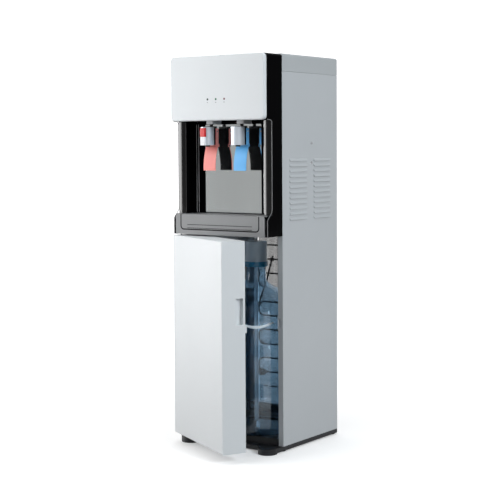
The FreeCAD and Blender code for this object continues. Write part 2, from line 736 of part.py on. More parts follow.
def tray_frame():
    """Grey frame: the face round the drawer, its box and the ledges at the posts."""
    face = FRONT - HOUSING_OUT - TRAY_FACE
    back = FRONT - NICHE_BACK_OUT - SEAT_GAP
    top = NICHE_BOTTOM - SEAT_GAP
    plate = box((-TRAY_FACE_HALF, TRAY_FACE_HALF), (face, face + TRAY_FACE - SEAT_GAP),
                (HOUSING_BOTTOM, top))
    plate = soften(plate, TRAY_FACE_ROUND, lambda m, e: along_y(e) and m.z > top - 0.1)
    body = box(tray_box_x(0), (face + 1, back), (tray_floor_z(), top))
    shoulder = box((-TRAY_FACE_HALF, TRAY_FACE_HALF), (face + 1, FRONT - WAIST_OUT - SEAT_GAP),
                   (tray_ledge_z(), top))
    frame = plate.fuse([body, shoulder]).removeSplitter()
    half = TRAY_HALF + TRAY_GROOVE
    bay = box((-half, half), (face - 1, back - TRAY_WALL), (TRAY_FRONT_LOW - TRAY_GROOVE, top + 1))
    bay = soften(bay, TRAY_LOWER_ROUND + TRAY_GROOVE,
                 lambda m, e: along_y(e) and m.z < TRAY_FRONT_LOW)
    lower = box((-half + 12, half - 12), (face + TRAY_FACE, back - TRAY_WALL),
                (tray_floor_z() + TRAY_WALL, TRAY_FRONT_LOW + 1))
    return frame.cut(bay).cut(lower)


def drip_tray():
    """Pull-out tray: its front closes the frame and its pan catches the drips."""
    face = FRONT - HOUSING_OUT - TRAY_FACE
    back = FRONT - NICHE_BACK_OUT - SEAT_GAP - TRAY_WALL - TRAY_BACK_GAP
    top = NICHE_BOTTOM - SEAT_GAP - 0.5
    front = box((-TRAY_HALF, TRAY_HALF), (face, face + 5), (TRAY_FRONT_LOW, top))
    front = soften(front, TRAY_LOWER_ROUND, lambda m, e: along_y(e) and m.z < TRAY_FRONT_LOW + 1)
    half = TRAY_HALF - 3
    pan = box((-half, half), (face + 2, back), (TRAY_FRONT_LOW + 0.5, top))
    pan = soften(pan, TRAY_LOWER_ROUND - 1, lambda m, e: along_y(e) and m.z < TRAY_FRONT_LOW + 1)
    tray = front.fuse(pan).removeSplitter()
    rest = top - GRILLE_SINK - GRILLE_THICK - 0.3
    well = box((-half + TRAY_WALL + 2, half - TRAY_WALL - 2), (face + 5 + 2, back - TRAY_WALL - 2),
               (TRAY_FRONT_LOW + TRAY_WALL + 1, top + 1))
    seat = box((-half + TRAY_WALL, half - TRAY_WALL), (face + 5, back - TRAY_WALL), (rest, top + 1))
    tray = tray.cut(well).cut(seat)
    span = (-TRAY_RIDGE_HALF, TRAY_RIDGE_HALF)
    ridges = [box(span, (face - TRAY_RIDGE_OUT, face + 0.5), (z, z + TRAY_RIDGE)) for z in TRAY_RIDGES]
    return tray.fuse(ridges).removeSplitter()


def drip_grille():
    """Lift-out grating over the tray, with rounded finger slots."""
    face = FRONT - HOUSING_OUT - TRAY_FACE
    back = FRONT - NICHE_BACK_OUT - SEAT_GAP - TRAY_WALL - TRAY_BACK_GAP
    half = TRAY_HALF - 3 - TRAY_WALL - 0.3
    top = NICHE_BOTTOM - SEAT_GAP - 0.5 - GRILLE_SINK
    y = (face + 5.3, back - TRAY_WALL - 0.3)
    plate = box((-half, half), y, (top - GRILLE_THICK, top))
    slots = []
    for index in range(GRILLE_SLOTS):
        x = (index - (GRILLE_SLOTS - 1) / 2) * GRILLE_PITCH
        slots.append(box((x - GRILLE_SLOT / 2, x + GRILLE_SLOT / 2), (y[0] + GRILLE_RIM, y[1] - GRILLE_RIM),
                         (top - GRILLE_THICK - 1, top + 1)))
    return plate.cut(Part.Compound(slots))


# ================================================================ taps
def tap_core(x):
    """Upright plan of a tap body: a round nose with a square back."""
    radius = TAP_RADIUS - TAP_SHELL - SEAT_GAP
    half = TAP_RADIUS - 0.5
    nose = post(x, TAP_Y, radius, TAP_LOW + 1, TAP_HIGH - 1)
    front = TAP_Y + SLEEVE_BACK + SEAT_GAP
    block = box((x - half, x + half), (front, FRONT - TAP_REAR_OUT), (TAP_LOW + 1, TAP_HIGH + 2))
    block = soften(block, 4.0, lambda m, e: upright(e) and m.y > front + 1)
    return nose.fuse(block).removeSplitter()


def tap_body(x):
    """Tap body with its inlet stub, outlet socket and the bore for the lever's pin."""
    body = tap_core(x)
    ceiling = NICHE_TOP + NICHE_WALL + 10
    inlet = post(x, FRONT - INLET_OUT, INLET_RADIUS, TAP_HIGH, ceiling)
    waterway = post(x, FRONT - INLET_OUT, INLET_RADIUS - 2, TAP_LOW + 20, ceiling + 1)
    socket = post(x, TAP_Y, NOZZLE_RADIUS - 1.5, TAP_LOW, TAP_LOW + 12)
    reach = TAP_RADIUS + 5
    bore = rod(V(x - reach, FRONT - PIVOT_OUT, PIVOT_Z), V(x + reach, FRONT - PIVOT_OUT, PIVOT_Z),
               PIVOT_RADIUS + 0.01)
    body = body.fuse(inlet).removeSplitter()
    body = body.cut(Part.Compound([waterway, socket, bore]))
    if x > 0:
        return body
    room = box((x - LOCK_HALF - LOCK_GAP, x + LOCK_HALF + LOCK_GAP),
               (TAP_Y - TAP_RADIUS, TAP_Y - TAP_RADIUS + TAP_SHELL + LOCK_TRAVEL + 3),
               (LOCK_SPLIT_Z - LOCK_GAP, LOCK_TOP_Z + LOCK_GAP))
    return body.cut(room)


def tap_shell(x):
    """Silver sleeve round the nose of a tap, open behind."""
    outer = post(x, TAP_Y, TAP_RADIUS, TAP_LOW, TAP_HIGH)
    outer = soften(outer, 0.8, lambda m, e: abs(m.z - TAP_LOW) < 0.1 or abs(m.z - TAP_HIGH) < 0.1)
    inner = post(x, TAP_Y, TAP_RADIUS - TAP_SHELL, TAP_LOW - 1, TAP_HIGH + 1)
    rear = box((x - 30, x + 30), (TAP_Y + SLEEVE_BACK, TAP_Y + 60), (TAP_LOW - 1, TAP_HIGH + 1))
    shell = outer.cut(inner).cut(rear)
    if x > 0:
        return shell
    window = box((x - LOCK_HALF - LOCK_GAP, x + LOCK_HALF + LOCK_GAP), (TAP_Y - 30, TAP_Y),
                 (LOCK_SPLIT_Z - LOCK_GAP, LOCK_TOP_Z + LOCK_GAP))
    return shell.cut(window)


def tap_lever(x):
    """Push lever: two cheeks and a back hugging the body, and the paddle under it."""
    inner = TAP_RADIUS - 0.5 + LEVER_GAP
    outer = inner + LEVER_WALL
    rear = FRONT - LEVER_REAR_OUT
    front = TAP_Y + SLEEVE_BACK + LEVER_GAP
    low = TAP_LOW + 0.5
    block = box((x - outer, x + outer), (front, rear), (low, LEVER_TOP))
    block = soften(block, 5.0, lambda m, e: upright(e) and m.y > rear - 0.1)
    hollow = box((x - inner, x + inner), (front - 1, rear - LEVER_WALL), (low - 1, LEVER_TOP + 1))
    yoke = block.cut(hollow)
    paddle = paddle_face(x - PADDLE_HALF).extrude(V(2 * PADDLE_HALF, 0, 0))
    paddle = soften(paddle, 1.0, lambda m, e: abs(m.z - PADDLE_LOW_Z) < 0.6 and not along_x(e))
    lever = yoke.fuse(paddle).removeSplitter()
    reach = outer + 1
    bore = rod(V(x - reach, FRONT - PIVOT_OUT, PIVOT_Z), V(x + reach, FRONT - PIVOT_OUT, PIVOT_Z),
               PIVOT_RADIUS + PIVOT_CLEARANCE)
    return lever.cut(bore)


def along_x(edge):
    """True for a straight edge that runs across the cooler."""
    ends = [vertex.Point for vertex in edge.Vertexes]
    if len(ends) != 2:
        return False
    return math.hypot(ends[1].y - ends[0].y, ends[1].z - ends[0].z) < 1e-6


def paddle_face(x):
    """Side section of the paddle: a heel under the yoke, an arc down and forward, then straight."""
    rear = FRONT - LEVER_REAR_OUT
    tip = FRONT - PADDLE_OUT
    start_z = TAP_LOW - 4
    drop = start_z - PADDLE_BEND_Z
    reach = PADDLE_OUT - PADDLE_ROOT_OUT
    bend = (reach * reach + drop * drop) / (2 * reach)
    centre = V(x, tip + bend, PADDLE_BEND_Z)
    turn = math.asin(drop / bend)
    skins = []
    for radius in (bend, bend + PADDLE_THICK):
        ends = [centre + V(0, -radius * math.cos(angle), radius * math.sin(angle))
                for angle in (turn, turn / 2, 0)]
        foot = V(x, ends[2].y, PADDLE_LOW_Z)
        skins.append((ends, foot))
    (inner, inner_foot), (outer, outer_foot) = skins
    heel = [outer[0], V(x, rear - LEVER_WALL, start_z + PADDLE_THICK),
            V(x, rear - LEVER_WALL, TAP_LOW + 4), V(x, rear, TAP_LOW + 4), V(x, rear, start_z), inner[0]]
    edges = [Part.Arc(*inner).toShape(), Part.makeLine(inner[2], inner_foot),
             Part.makeLine(inner_foot, outer_foot), Part.makeLine(outer_foot, outer[2]),
             Part.Arc(*reversed(outer)).toShape()]
    edges += [Part.makeLine(a, b) for a, b in zip(heel, heel[1:])]
    return Part.Face(Part.Wire(edges))


def tap_nozzle(x):
    """Spout pressed into the underside of a tap."""
    flange = post(x, TAP_Y, NOZZLE_RADIUS, NOZZLE_LOW, TAP_LOW + 0.8)
    spigot = post(x, TAP_Y, NOZZLE_RADIUS - 1.5 - 0.05, TAP_LOW, TAP_LOW + 10)
    nozzle = flange.fuse(spigot).removeSplitter()
    return nozzle.cut(post(x, TAP_Y, NOZZLE_BORE, NOZZLE_LOW - 1, TAP_LOW + 12))


def tap_pivot_pin(x):
    """Steel pin through the tap body and both cheeks of its lever."""
    reach = TAP_RADIUS + LEVER_WALL + 0.5
    y = FRONT - PIVOT_OUT
    return rod(V(x - reach, y, PIVOT_Z), V(x + reach, y, PIVOT_Z), PIVOT_RADIUS)


def tap_mount(x):
    """Pale bracket under the niche ceiling that grips the inlet stub."""
    low = NICHE_TOP - MOUNT_HEIGHT
    y = (FRONT - INLET_OUT - 8, NICHE_BACK - MIRROR_THICK - SEAT_GAP)
    block = box((x - MOUNT_HALF, x + MOUNT_HALF), y, (low, NICHE_TOP - SEAT_GAP))
    block = soften(block, 3.0, lambda m, e: upright(e) and m.y < y[0] + 0.1)
    return block.cut(post(x, FRONT - INLET_OUT, INLET_RADIUS + 0.05, low - 1, NICHE_TOP + 1))


def child_lock_housing():
    """Pale block on the nose of the hot tap, under the red button."""
    x = -TAP_X
    block = box((x - LOCK_HALF, x + LOCK_HALF), (TAP_Y - LOCK_OUT, TAP_Y), (TAP_LOW, LOCK_SPLIT_Z - LOCK_GAP))
    block = soften(block, 2.0, lambda m, e: upright(e) and m.y < TAP_Y - 5)
    return block.cut(post(x, TAP_Y, TAP_RADIUS + 0.05, TAP_LOW - 1, LOCK_SPLIT_Z + 1))


def child_lock_button():
    """Red button that frees the hot lever when it is pressed in."""
    x = -TAP_X
    rear = TAP_Y - TAP_RADIUS + TAP_SHELL + 2
    block = box((x - LOCK_HALF, x + LOCK_HALF), (TAP_Y - LOCK_OUT - 0.6, rear), (LOCK_SPLIT_Z, LOCK_TOP_Z))
    return soften(block, 2.2, lambda m, e: m.y < TAP_Y - LOCK_OUT and m.z > LOCK_SPLIT_Z + 1)


# ================================================================ bottle door
def opened(shape):
    """A door piece turned from closed to where the door stands open."""
    turned = shape.copy()
    turned.rotate(V(HINGE_X, HINGE_Y, 0), V(0, 0, 1), -DOOR_REST_OPEN)
    return turned


def door_y():
    """Front and rear faces of the closed door."""
    front = FRONT - DOOR_OUT
    return (front, front + DOOR_THICK)


def door_shell():
    """White moulded door: front, four edges, hinge bosses and the grip pocket."""
    half = HALF - DOOR_SIDE_GAP
    y = door_y()
    outer = box((-half, half), y, (DOOR_BOTTOM, DOOR_TOP))
    outer = soften(outer, DOOR_ROUND, lambda m, e: m.y < y[0] + 0.1 or (upright(e) and m.x < 0))
    inner = box((-half + DOOR_WALL, half - DOOR_WALL), (y[0] + DOOR_WALL, y[1] + 1),
                (DOOR_BOTTOM + DOOR_WALL, DOOR_TOP - DOOR_WALL))
    shell = outer.cut(inner)
    boss = bush_radius() + BOSS_WALL
    low = DOOR_BOTTOM + DOOR_WALL
    high = DOOR_TOP - DOOR_WALL
    bosses = [post(HINGE_X, HINGE_Y, boss, low - 1, low + HINGE_PIN_LENGTH + 2),
              post(HINGE_X, HINGE_Y, boss, high - HINGE_PIN_LENGTH - 2, high + 1)]
    floor = y[1] - POCKET_REAR
    cup = box((half - POCKET_DEPTH - POCKET_WALL, half - 1),
              (floor - POCKET_WIDTH - POCKET_WALL, floor + POCKET_WALL),
              (POCKET_LOW - POCKET_WALL, POCKET_HIGH + POCKET_WALL))
    shell = shell.fuse(bosses + [cup]).removeSplitter()
    pocket = box((half - POCKET_DEPTH, half + 1), (floor - POCKET_WIDTH, floor), (POCKET_LOW, POCKET_HIGH))
    pocket = soften(pocket, 3.0, lambda m, e: along_x(e))
    bore = post(HINGE_X, HINGE_Y, bush_radius() + 0.02, DOOR_BOTTOM - 1, DOOR_TOP + 1)
    return shell.cut(Part.Compound([pocket, bore]))


def bush_radius():
    """Outer radius of the hinge bushes."""
    return HINGE_PIN_RADIUS + HINGE_CLEARANCE + BUSH_WALL


def door_bushes():
    """Two plastic bushes that the hinge pins turn in."""
    bore = HINGE_PIN_RADIUS + HINGE_CLEARANCE
    low = DOOR_BOTTOM
    high = DOOR_TOP
    length = HINGE_PIN_LENGTH + DOOR_WALL
    spans = [(low, low + length), (high - length, high)]
    sleeves = [post(HINGE_X, HINGE_Y, bush_radius(), a, b).cut(post(HINGE_X, HINGE_Y, bore, a - 1, b + 1))
               for a, b in spans]
    return Part.Compound(sleeves)


def door_liner():
    """Inner door moulding: a flat rim round a deep recess that clears the bottle."""
    half = HALF - DOOR_SIDE_GAP - DOOR_WALL - LINER_GAP
    y = door_y()
    low = DOOR_BOTTOM + DOOR_WALL + LINER_GAP
    high = DOOR_TOP - DOOR_WALL - LINER_GAP
    rim = box((-half, half), (y[1] - LINER_WALL, y[1]), (low, high))
    wall = LINER_WALL
    tub = box((-RECESS_HALF - wall, RECESS_HALF + wall), (y[1] - RECESS_DEPTH - wall, y[1]),
              (low, RECESS_TOP + wall))
    recess = box((-RECESS_HALF, RECESS_HALF), (y[1] - RECESS_DEPTH, y[1] + 1), (low - 1, RECESS_TOP))
    recess = soften(recess, 8.0, lambda m, e: upright(e) and m.y < y[1])
    liner = rim.fuse(tub).removeSplitter().cut(recess)
    boss = bush_radius() + BOSS_WALL + LINER_GAP
    corners = post(HINGE_X, HINGE_Y, boss, low - 1, high + 1)
    floor = y[1] - POCKET_REAR + POCKET_WALL + LINER_GAP
    cup = box((half - POCKET_DEPTH - 2, half + 5), (floor - 40, floor), (POCKET_LOW - 3, POCKET_HIGH + 3))
    return liner.cut(Part.Compound([corners, cup]))


def catch_x():
    """Left and right sides of the door catch, with the door closed."""
    right = HALF - DOOR_SIDE_GAP - CATCH_INSET
    return (right - CATCH_WIDTH, right)


def catch_opening_z():
    """Bottom and top of the catch's way through the side panel's fold."""
    return (CATCH_LOW - CATCH_CLEARANCE, CATCH_HIGH + CATCH_CLEARANCE)


def door_catch():
    """White tab on the inside of the door that snaps into the keeper."""
    rear = door_y()[1] + 0.05
    x = catch_x()
    tab = box(x, (rear, rear + CATCH_REACH), (CATCH_LOW, CATCH_HIGH))
    return soften(tab, 1.8, lambda m, e: m.y > rear + CATCH_REACH - 0.1 and not upright(e))


def catch_keeper():
    """White box behind the side panel's fold that receives the catch."""
    x = (catch_x()[0] - CATCH_CLEARANCE, catch_x()[1] + CATCH_CLEARANCE)
    low, high = catch_opening_z()
    y = (FRONT + SHEET + SEAT_GAP, FRONT + SHEET + SEAT_GAP + KEEPER_DEPTH)
    wall = KEEPER_WALL
    right = INNER - SEAT_GAP
    block = box((x[0] - wall, right), y, (low - wall - 6, high + wall + 6))
    return block.cut(box(x, (y[0] - 1, y[1] - wall), (low, high)))


def hinge_bracket_lower():
    """Steel strip on the left lobe with the upright pin that carries the door."""
    low = LOBE_HEIGHT + SEAT_GAP
    lobe = (-LOBE_X, FRONT - LOBE_OUT)
    away = V(HINGE_X - lobe[0], HINGE_Y - lobe[1], 0)
    angle = math.degrees(math.atan2(away.y, away.x))
    strip = box((-6, away.Length), (-6, 6), (low, low + HINGE_PLATE))
    strip.rotate(V(0, 0, 0), V(0, 0, 1), angle)
    strip.translate(V(lobe[0], lobe[1], 0))
    eye = post(HINGE_X, HINGE_Y, 6, low, low + HINGE_PLATE)
    collar = post(HINGE_X, HINGE_Y, HINGE_PIN_RADIUS + 1.8, low, DOOR_BOTTOM - 0.3)
    pin = post(HINGE_X, HINGE_Y, HINGE_PIN_RADIUS, low, DOOR_BOTTOM + HINGE_PIN_LENGTH)
    return strip.fuse([eye, collar, pin]).removeSplitter()


def hinge_pin_upper():
    """Headed steel pin dropped through the housing's floor into the door."""
    seat = HOUSING_BOTTOM + HOUSING_WALL + 0.05
    pin = post(HINGE_X, HINGE_Y, HINGE_PIN_RADIUS, DOOR_TOP - HINGE_PIN_LENGTH, seat + 1)
    return pin.fuse(post(HINGE_X, HINGE_Y, HINGE_PIN_RADIUS + 1.8, seat, seat + 2)).removeSplitter()


# ================================================================ bottle and probe
def bottle_outline(inset):
    """Half section of the bottle as (radius, height) pairs, drawn in by a wall."""
    base = BOTTLE_BASE + inset
    top = BOTTLE_TOP
    body = BOTTLE_RADIUS - inset
    neck = NECK_RADIUS - inset
    dish = base + BOTTLE_PUNT
    points = [(0, dish), (BOTTLE_FOOT_RADIUS - 22, dish), (BOTTLE_FOOT_RADIUS - 10, base),
              (BOTTLE_FOOT_RADIUS - inset, base), (BOTTLE_RADIUS - 5 - inset, base + 8),
              (body, base + 20)]
    for waist in BOTTLE_WAISTS:
        middle = BOTTLE_BASE + waist * BOTTLE_HEIGHT
        points += [(body, middle - 10), (body - 3, middle - 6), (body - 4, middle),
                   (body - 3, middle + 6), (body, middle + 10)]
    shoulder = top - BOTTLE_SHOULDER
    points += [(body, shoulder), (body - 4, shoulder + 17), (body - 14, shoulder + 33),
               (body - 30, shoulder + 46), (body - 52, shoulder + 57), (neck + 34, shoulder + 69),
               (neck + 14, shoulder + 77 - inset), (neck + 4, shoulder + 84 - inset),
               (neck, shoulder + 94 - inset), (neck, top), (0, top)]
    return points


def bottle_shell():
    """Blue clear bottle with two waists, a domed shoulder and an open neck."""
    outer = revolve(bottle_outline(0), 0, BOTTLE_Y)
    inner = revolve(bottle_outline(BOTTLE_WALL), 0, BOTTLE_Y)
    mouth = post(0, BOTTLE_Y, NECK_RADIUS - BOTTLE_WALL, BOTTLE_TOP - 5, BOTTLE_TOP + 1)
    return outer.cut(inner).cut(mouth)


def probe_cap():
    """Grey hood over the bottle's neck, with a pale rim and the hose stub on top."""
    outer = post(0, BOTTLE_Y, CAP_RADIUS, CAP_LOW, CAP_HIGH)
    outer = soften(outer, 1.5, lambda m, e: m.z > CAP_HIGH - 0.1)
    inner = post(0, BOTTLE_Y, CAP_RADIUS - CAP_WALL, CAP_LOW - 1, BOTTLE_TOP + SEAT_GAP)
    stub = post(0, BOTTLE_Y, HOSE_RADIUS - 1.5, CAP_HIGH - 1, CAP_HIGH + 10)
    cap = outer.cut(inner).fuse(stub).removeSplitter()
    return cap.cut(post(0, BOTTLE_Y, DIP_RADIUS - 3.5, CAP_LOW, CAP_HIGH + 11))


def probe_ring():
    """Blue collar that grips the neck under the cap."""
    outer = post(0, BOTTLE_Y, CAP_RADIUS + 1.5, RING_LOW, CAP_LOW - SEAT_GAP)
    return outer.cut(post(0, BOTTLE_Y, NECK_RADIUS + 0.3, RING_LOW - 1, CAP_LOW + 1))


def dip_tube():
    """Rigid suction tube from the cap to just above the bottle's floor."""
    low = BOTTLE_BASE + BOTTLE_WALL + BOTTLE_PUNT + DIP_LOW_GAP
    top = BOTTLE_TOP + SEAT_GAP - 0.1
    tube = post(0, BOTTLE_Y, DIP_RADIUS, low, top)
    flange = post(0, BOTTLE_Y, NECK_RADIUS - BOTTLE_WALL - 0.5, top - 6, top)
    tube = tube.fuse(flange).removeSplitter()
    tube = tube.cut(post(0, BOTTLE_Y, DIP_RADIUS - 1.5, low - 1, top + 1))
    windows = [box((-DIP_RADIUS - 1, DIP_RADIUS + 1), (BOTTLE_Y - 1.5, BOTTLE_Y + 1.5), (z, z + 8))
               for z in (low + 4, low + 18)]
    return tube.cut(Part.Compound(windows))


def supply_hose():
    """Hose from the probe cap up through the shelf to the pump's inlet."""
    lift = SHELF_Z + SHEET + 36
    pump = V(PUMP_X, FRONT + PUMP_BACK, lift)
    end = pump + (V(0, BOTTLE_Y, lift) - pump).normalize() * (PUMP_RADIUS + 1)
    path = [V(0, BOTTLE_Y, CAP_HIGH + SEAT_GAP), V(0, BOTTLE_Y, lift), end]
    hose = pipe(path, HOSE_RADIUS, HOSE_BEND)
    bore = post(0, BOTTLE_Y, HOSE_RADIUS - 1.5 + 0.05, CAP_HIGH, CAP_HIGH + 10.5)
    return hose.cut(bore)


# ================================================================ cooling set
def pass_z(index):
    """Height of one pass of the condenser tube."""
    return FIRST_PASS_Z + index * PASS_PITCH


def condenser_tube():
    """One serpentine tube behind the cabinet."""
    edges = []
    for index in range(PASSES):
        side = 1 if index % 2 == 0 else -1
        z = pass_z(index)
        start = V(-side * PASS_HALF, CONDENSER_Y, z)
        end = V(side * PASS_HALF, CONDENSER_Y, z)
        edges.append(Part.LineSegment(start, end).toShape())
        if index < PASSES - 1:
            middle = V(side * (PASS_HALF + PASS_PITCH / 2), CONDENSER_Y, z + PASS_PITCH / 2)
            after = V(side * PASS_HALF, CONDENSER_Y, z + PASS_PITCH)
            edges.append(Part.Arc(end, middle, after).toShape())
    return sweep(edges, PASS_TUBE)


def condenser_wires():
    """Upright wires welded to both faces of the condenser tube."""
    low = pass_z(0) - 12
    high = pass_z(PASSES - 1) + 12
    offset = PASS_TUBE + WIRE_RADIUS
    wires = []
    for index in range(WIRES):
        x = (index - (WIRES - 1) / 2) * WIRE_PITCH
        for side in (-1, 1):
            corners = [V(x + WIRE_RADIUS * math.cos(math.radians(60 * turn)),
                         CONDENSER_Y + side * offset + WIRE_RADIUS * math.sin(math.radians(60 * turn)),
                         low) for turn in range(6)]
            wires.append(prism(corners, V(0, 0, high - low)))
    return Part.Compound(wires)


def condenser_bracket(z):
    """Clip that holds one pass of the tube off the side panel's rear fold."""
    base = box((BRACKET_INNER_X, INNER), (REAR + 0.1, REAR + 2.1), (z - 10, z + 10))
    outer = BRACKET_INNER_X + BRACKET_ARM
    arm = box((BRACKET_INNER_X, outer), (REAR + 1, CONDENSER_Y + PASS_TUBE + 2), (z - 6, z + 6))
    bore = rod(V(BRACKET_INNER_X - 1, CONDENSER_Y, z), V(outer + 1, CONDENSER_Y, z),
               PASS_TUBE + 0.05)
    screw = rod(V(INNER - 7, REAR + 2, z), V(INNER - 7, REAR + 3.4, z), 3)
    return base.fuse([arm, screw]).removeSplitter().cut(bore)


def condenser_brackets():
    """Four clips, two on each side."""
    clips = [condenser_bracket(pass_z(index)) for index in BRACKET_PASSES]
    return Part.Compound(clips + [mirrored(clip) for clip in clips])


def return_pipe():
    """Black pipe that slants down across the condenser from one pass to a bend lower down."""
    y = CONDENSER_Y - PASS_TUBE - 2 * WIRE_RADIUS - RETURN_TUBE - 0.3
    joint = V(RETURN_UPPER_X, y, pass_z(RETURN_UPPER_PASS))
    lower = V(RETURN_LOWER_X, y, pass_z(RETURN_LOWER_PASS) - PASS_TUBE * 3)
    knee = joint + (lower - joint) * 0.5 + V(PASS_TUBE * 2, 0, 0)
    top = joint + (joint - knee).normalize() * RETURN_TUBE * 4
    body = pipe([top, knee, lower], RETURN_TUBE, RETURN_BEND)
    reach = RETURN_TUBE + 1
    clamps = [box((centre.x - reach, centre.x + reach), (y - reach, CONDENSER_Y),
                  (centre.z - 4, centre.z + 4)) for centre in (joint, lower)]
    body = body.fuse(clamps).removeSplitter()
    return body.cut(Part.Compound([condenser_wires(), condenser_tube()]))


def compressor():
    """Domed steel compressor on a foot plate, with its terminal box."""
    y = FRONT + COMPRESSOR_BACK
    x = COMPRESSOR_X
    r = COMPRESSOR_RADIUS
    low = COMPRESSOR_LOW
    high = COMPRESSOR_HIGH
    outline = [(0, low), (r * 0.55, low + 1), (r * 0.88, low + 10), (r, low + 26), (r, low + 60),
               (r + 3, low + 60), (r + 3, low + 66), (r, low + 66), (r, high - 34), (r * 0.86, high - 14),
               (r * 0.5, high - 2), (0, high)]
    shell = revolve(outline, x, y)
    reach = COMPRESSOR_FOOT_PITCH / 2 + 10
    plate = box((x - reach, x + reach), (y - reach, y + reach), (low - 5, low - 2))
    saddle = post(x, y, r * 0.6, low - 3, low + 4)
    terminal = box((x - 22, x + 22), (y - r - 9, y - r + 12), (low + 70, low + 106))
    holes = [post(px, py, 5.1, low - 6, low) for px, py in grommet_places()]
    return shell.fuse([plate, saddle, terminal]).removeSplitter().cut(Part.Compound(holes))


def grommet_places():
    """Centres of the compressor's four rubber mounts."""
    y = FRONT + COMPRESSOR_BACK
    half = COMPRESSOR_FOOT_PITCH / 2
    return [(COMPRESSOR_X + sx * half, y + sy * half) for sx in (-1, 1) for sy in (-1, 1)]


def compressor_grommets():
    """Four waisted rubber mounts between the compressor's foot plate and the shelf."""
    low = SHELF_Z + SHEET + SEAT_GAP
    plate = COMPRESSOR_LOW - 5
    outline = [(0, low), (9, low), (9, plate - 0.2), (5, plate - 0.2), (5, plate + 3.2),
               (8, plate + 3.2), (7, plate + 8), (0, plate + 8)]
    return Part.Compound([revolve(outline, x, y) for x, y in grommet_places()])


def filter_drier():
    """Copper drier in a clip on the shelf, with its capillary stub."""
    x = COMPRESSOR_X + COMPRESSOR_RADIUS + 30
    y = REAR - 30
    low = SHELF_Z + SHEET + SEAT_GAP
    start = V(x, y - DRIER_LENGTH, low + DRIER_RADIUS + 8)
    end = V(x, y, low + DRIER_RADIUS + 8)
    body = rod(start, end, DRIER_RADIUS)
    stubs = [rod(start + V(0, -12, 0), start, 3), rod(end, end + V(0, 10, 0), 2)]
    middle = y - DRIER_LENGTH / 2
    clip = box((x - 5, x + 5), (middle - 7, middle + 3), (low, start.z - DRIER_RADIUS + 2))
    return body.fuse(stubs + [clip]).removeSplitter()


# ================================================================ tanks and pump
def tank(x, radius, high):
    """Closed stainless vessel with a rolled bead, hollow inside."""
    y = FRONT + TANK_BACK
    low = TANK_LOW
    outer = [(0, low), (radius - 6, low), (radius, low + 6), (radius, high - 6), (radius - 6, high),
             (0, high)]
    wall = TANK_WALL
    inner = [(0, low + wall), (radius - 6 - wall, low + wall), (radius - wall, low + 6 + wall),
             (radius - wall, high - 6 - wall), (radius - 6 - wall, high - wall), (0, high - wall)]
    return revolve(outer, x, y).cut(revolve(inner, x, y))


def jacket(x, radius, high):
    """Insulation round a tank, standing on the shelf on a moulded pedestal."""
    y = FRONT + TANK_BACK
    wrap = radius + JACKET
    outer = post(x, y, wrap, TANK_LOW - JACKET, high + JACKET)
    inner = post(x, y, radius + JACKET_GAP, TANK_LOW - JACKET_GAP, high + JACKET_GAP)
    return outer.cut(inner)


def cold_tank():
    """Chilled tank with its outlet to the cold tap."""
    return tank(COLD_X, COLD_RADIUS, COLD_HIGH)


def hot_tank():
    """Heated tank."""
    return tank(HOT_X, HOT_RADIUS, HOT_HIGH)


def tank_jackets():
    """Both insulating jackets, each in one piece round its tank."""
    return Part.Compound([jacket(COLD_X, COLD_RADIUS, COLD_HIGH), jacket(HOT_X, HOT_RADIUS, HOT_HIGH)])


def tank_deck():
    """Folded steel deck across the cabinet that carries both tanks."""
    x = INNER - SEAT_GAP
    top = TANK_LOW - JACKET - SEAT_GAP
    y = (FRONT + 10, FRONT + TANK_BACK + COLD_RADIUS + JACKET + 8)
    deck = box((-x, x), y, (top - SHEET, top))
    lips = [box((-x, x), (start, start + SHEET), (top - 18, top)) for start in (y[0], y[1] - SHEET)]
    ends = [box((-x, -x + SHEET), y, (top - 18, top)), box((x - SHEET, x), y, (top - 18, top))]
    return deck.fuse(lips + ends).removeSplitter()


def water_pump():
    """Upright pump with its motor, on a foot, beside the compressor."""
    low = SHELF_Z + SHEET + SEAT_GAP
    x = PUMP_X
    y = FRONT + PUMP_BACK
    foot = box((x - PUMP_FOOT[0], x + PUMP_FOOT[0]), (y - PUMP_FOOT[1], y + PUMP_FOOT[1]), (low, low + 4))
    head = post(x, y, PUMP_RADIUS, low + 3, low + PUMP_HEIGHT * 0.6)
    motor = post(x, y, PUMP_RADIUS - 4, low + PUMP_HEIGHT * 0.6 - 1, low + PUMP_HEIGHT)
    outlet = rod(V(x, y + PUMP_RADIUS - 2, low + 20), V(x, y + PUMP_RADIUS + PUMP_OUTLET, low + 20), 4)
    return foot.fuse([head, motor, outlet]).removeSplitter()


# ================================================================ rear fittings
def switch_x(index):
    """Centre of one of the two rear switches."""
    return SWITCH_X + index * SWITCH_PITCH


def switch_rocker(index):
    """Rocker tipped towards its upper end."""
    x = switch_x(index)
    y = REAR - SHEET - SEAT_GAP
    half = SWITCH_WIDTH / 2
    rise = SWITCH_HEIGHT / 2 - 2.4
    depth = SWITCH_DEPTH
    outline = [V(x - half + 1.2, y - depth + 4, SWITCH_Z - rise), V(x - half + 1.2, y + 1.5, SWITCH_Z - rise),
               V(x - half + 1.2, y + 0.6, SWITCH_Z), V(x - half + 1.2, y + 1.5, SWITCH_Z + rise),
               V(x - half + 1.2, y - depth + 4, SWITCH_Z + rise)]
    rocker = prism(outline, V(SWITCH_WIDTH - 2.4, 0, 0))
    bore = rod(V(x - half, y - 4, SWITCH_Z), V(x + half, y - 4, SWITCH_Z), 1.55)
    rocker = rocker.cut(bore)
    rocker.rotate(V(x, y - 4, SWITCH_Z), V(1, 0, 0), -SWITCH_TILT)
    return rocker


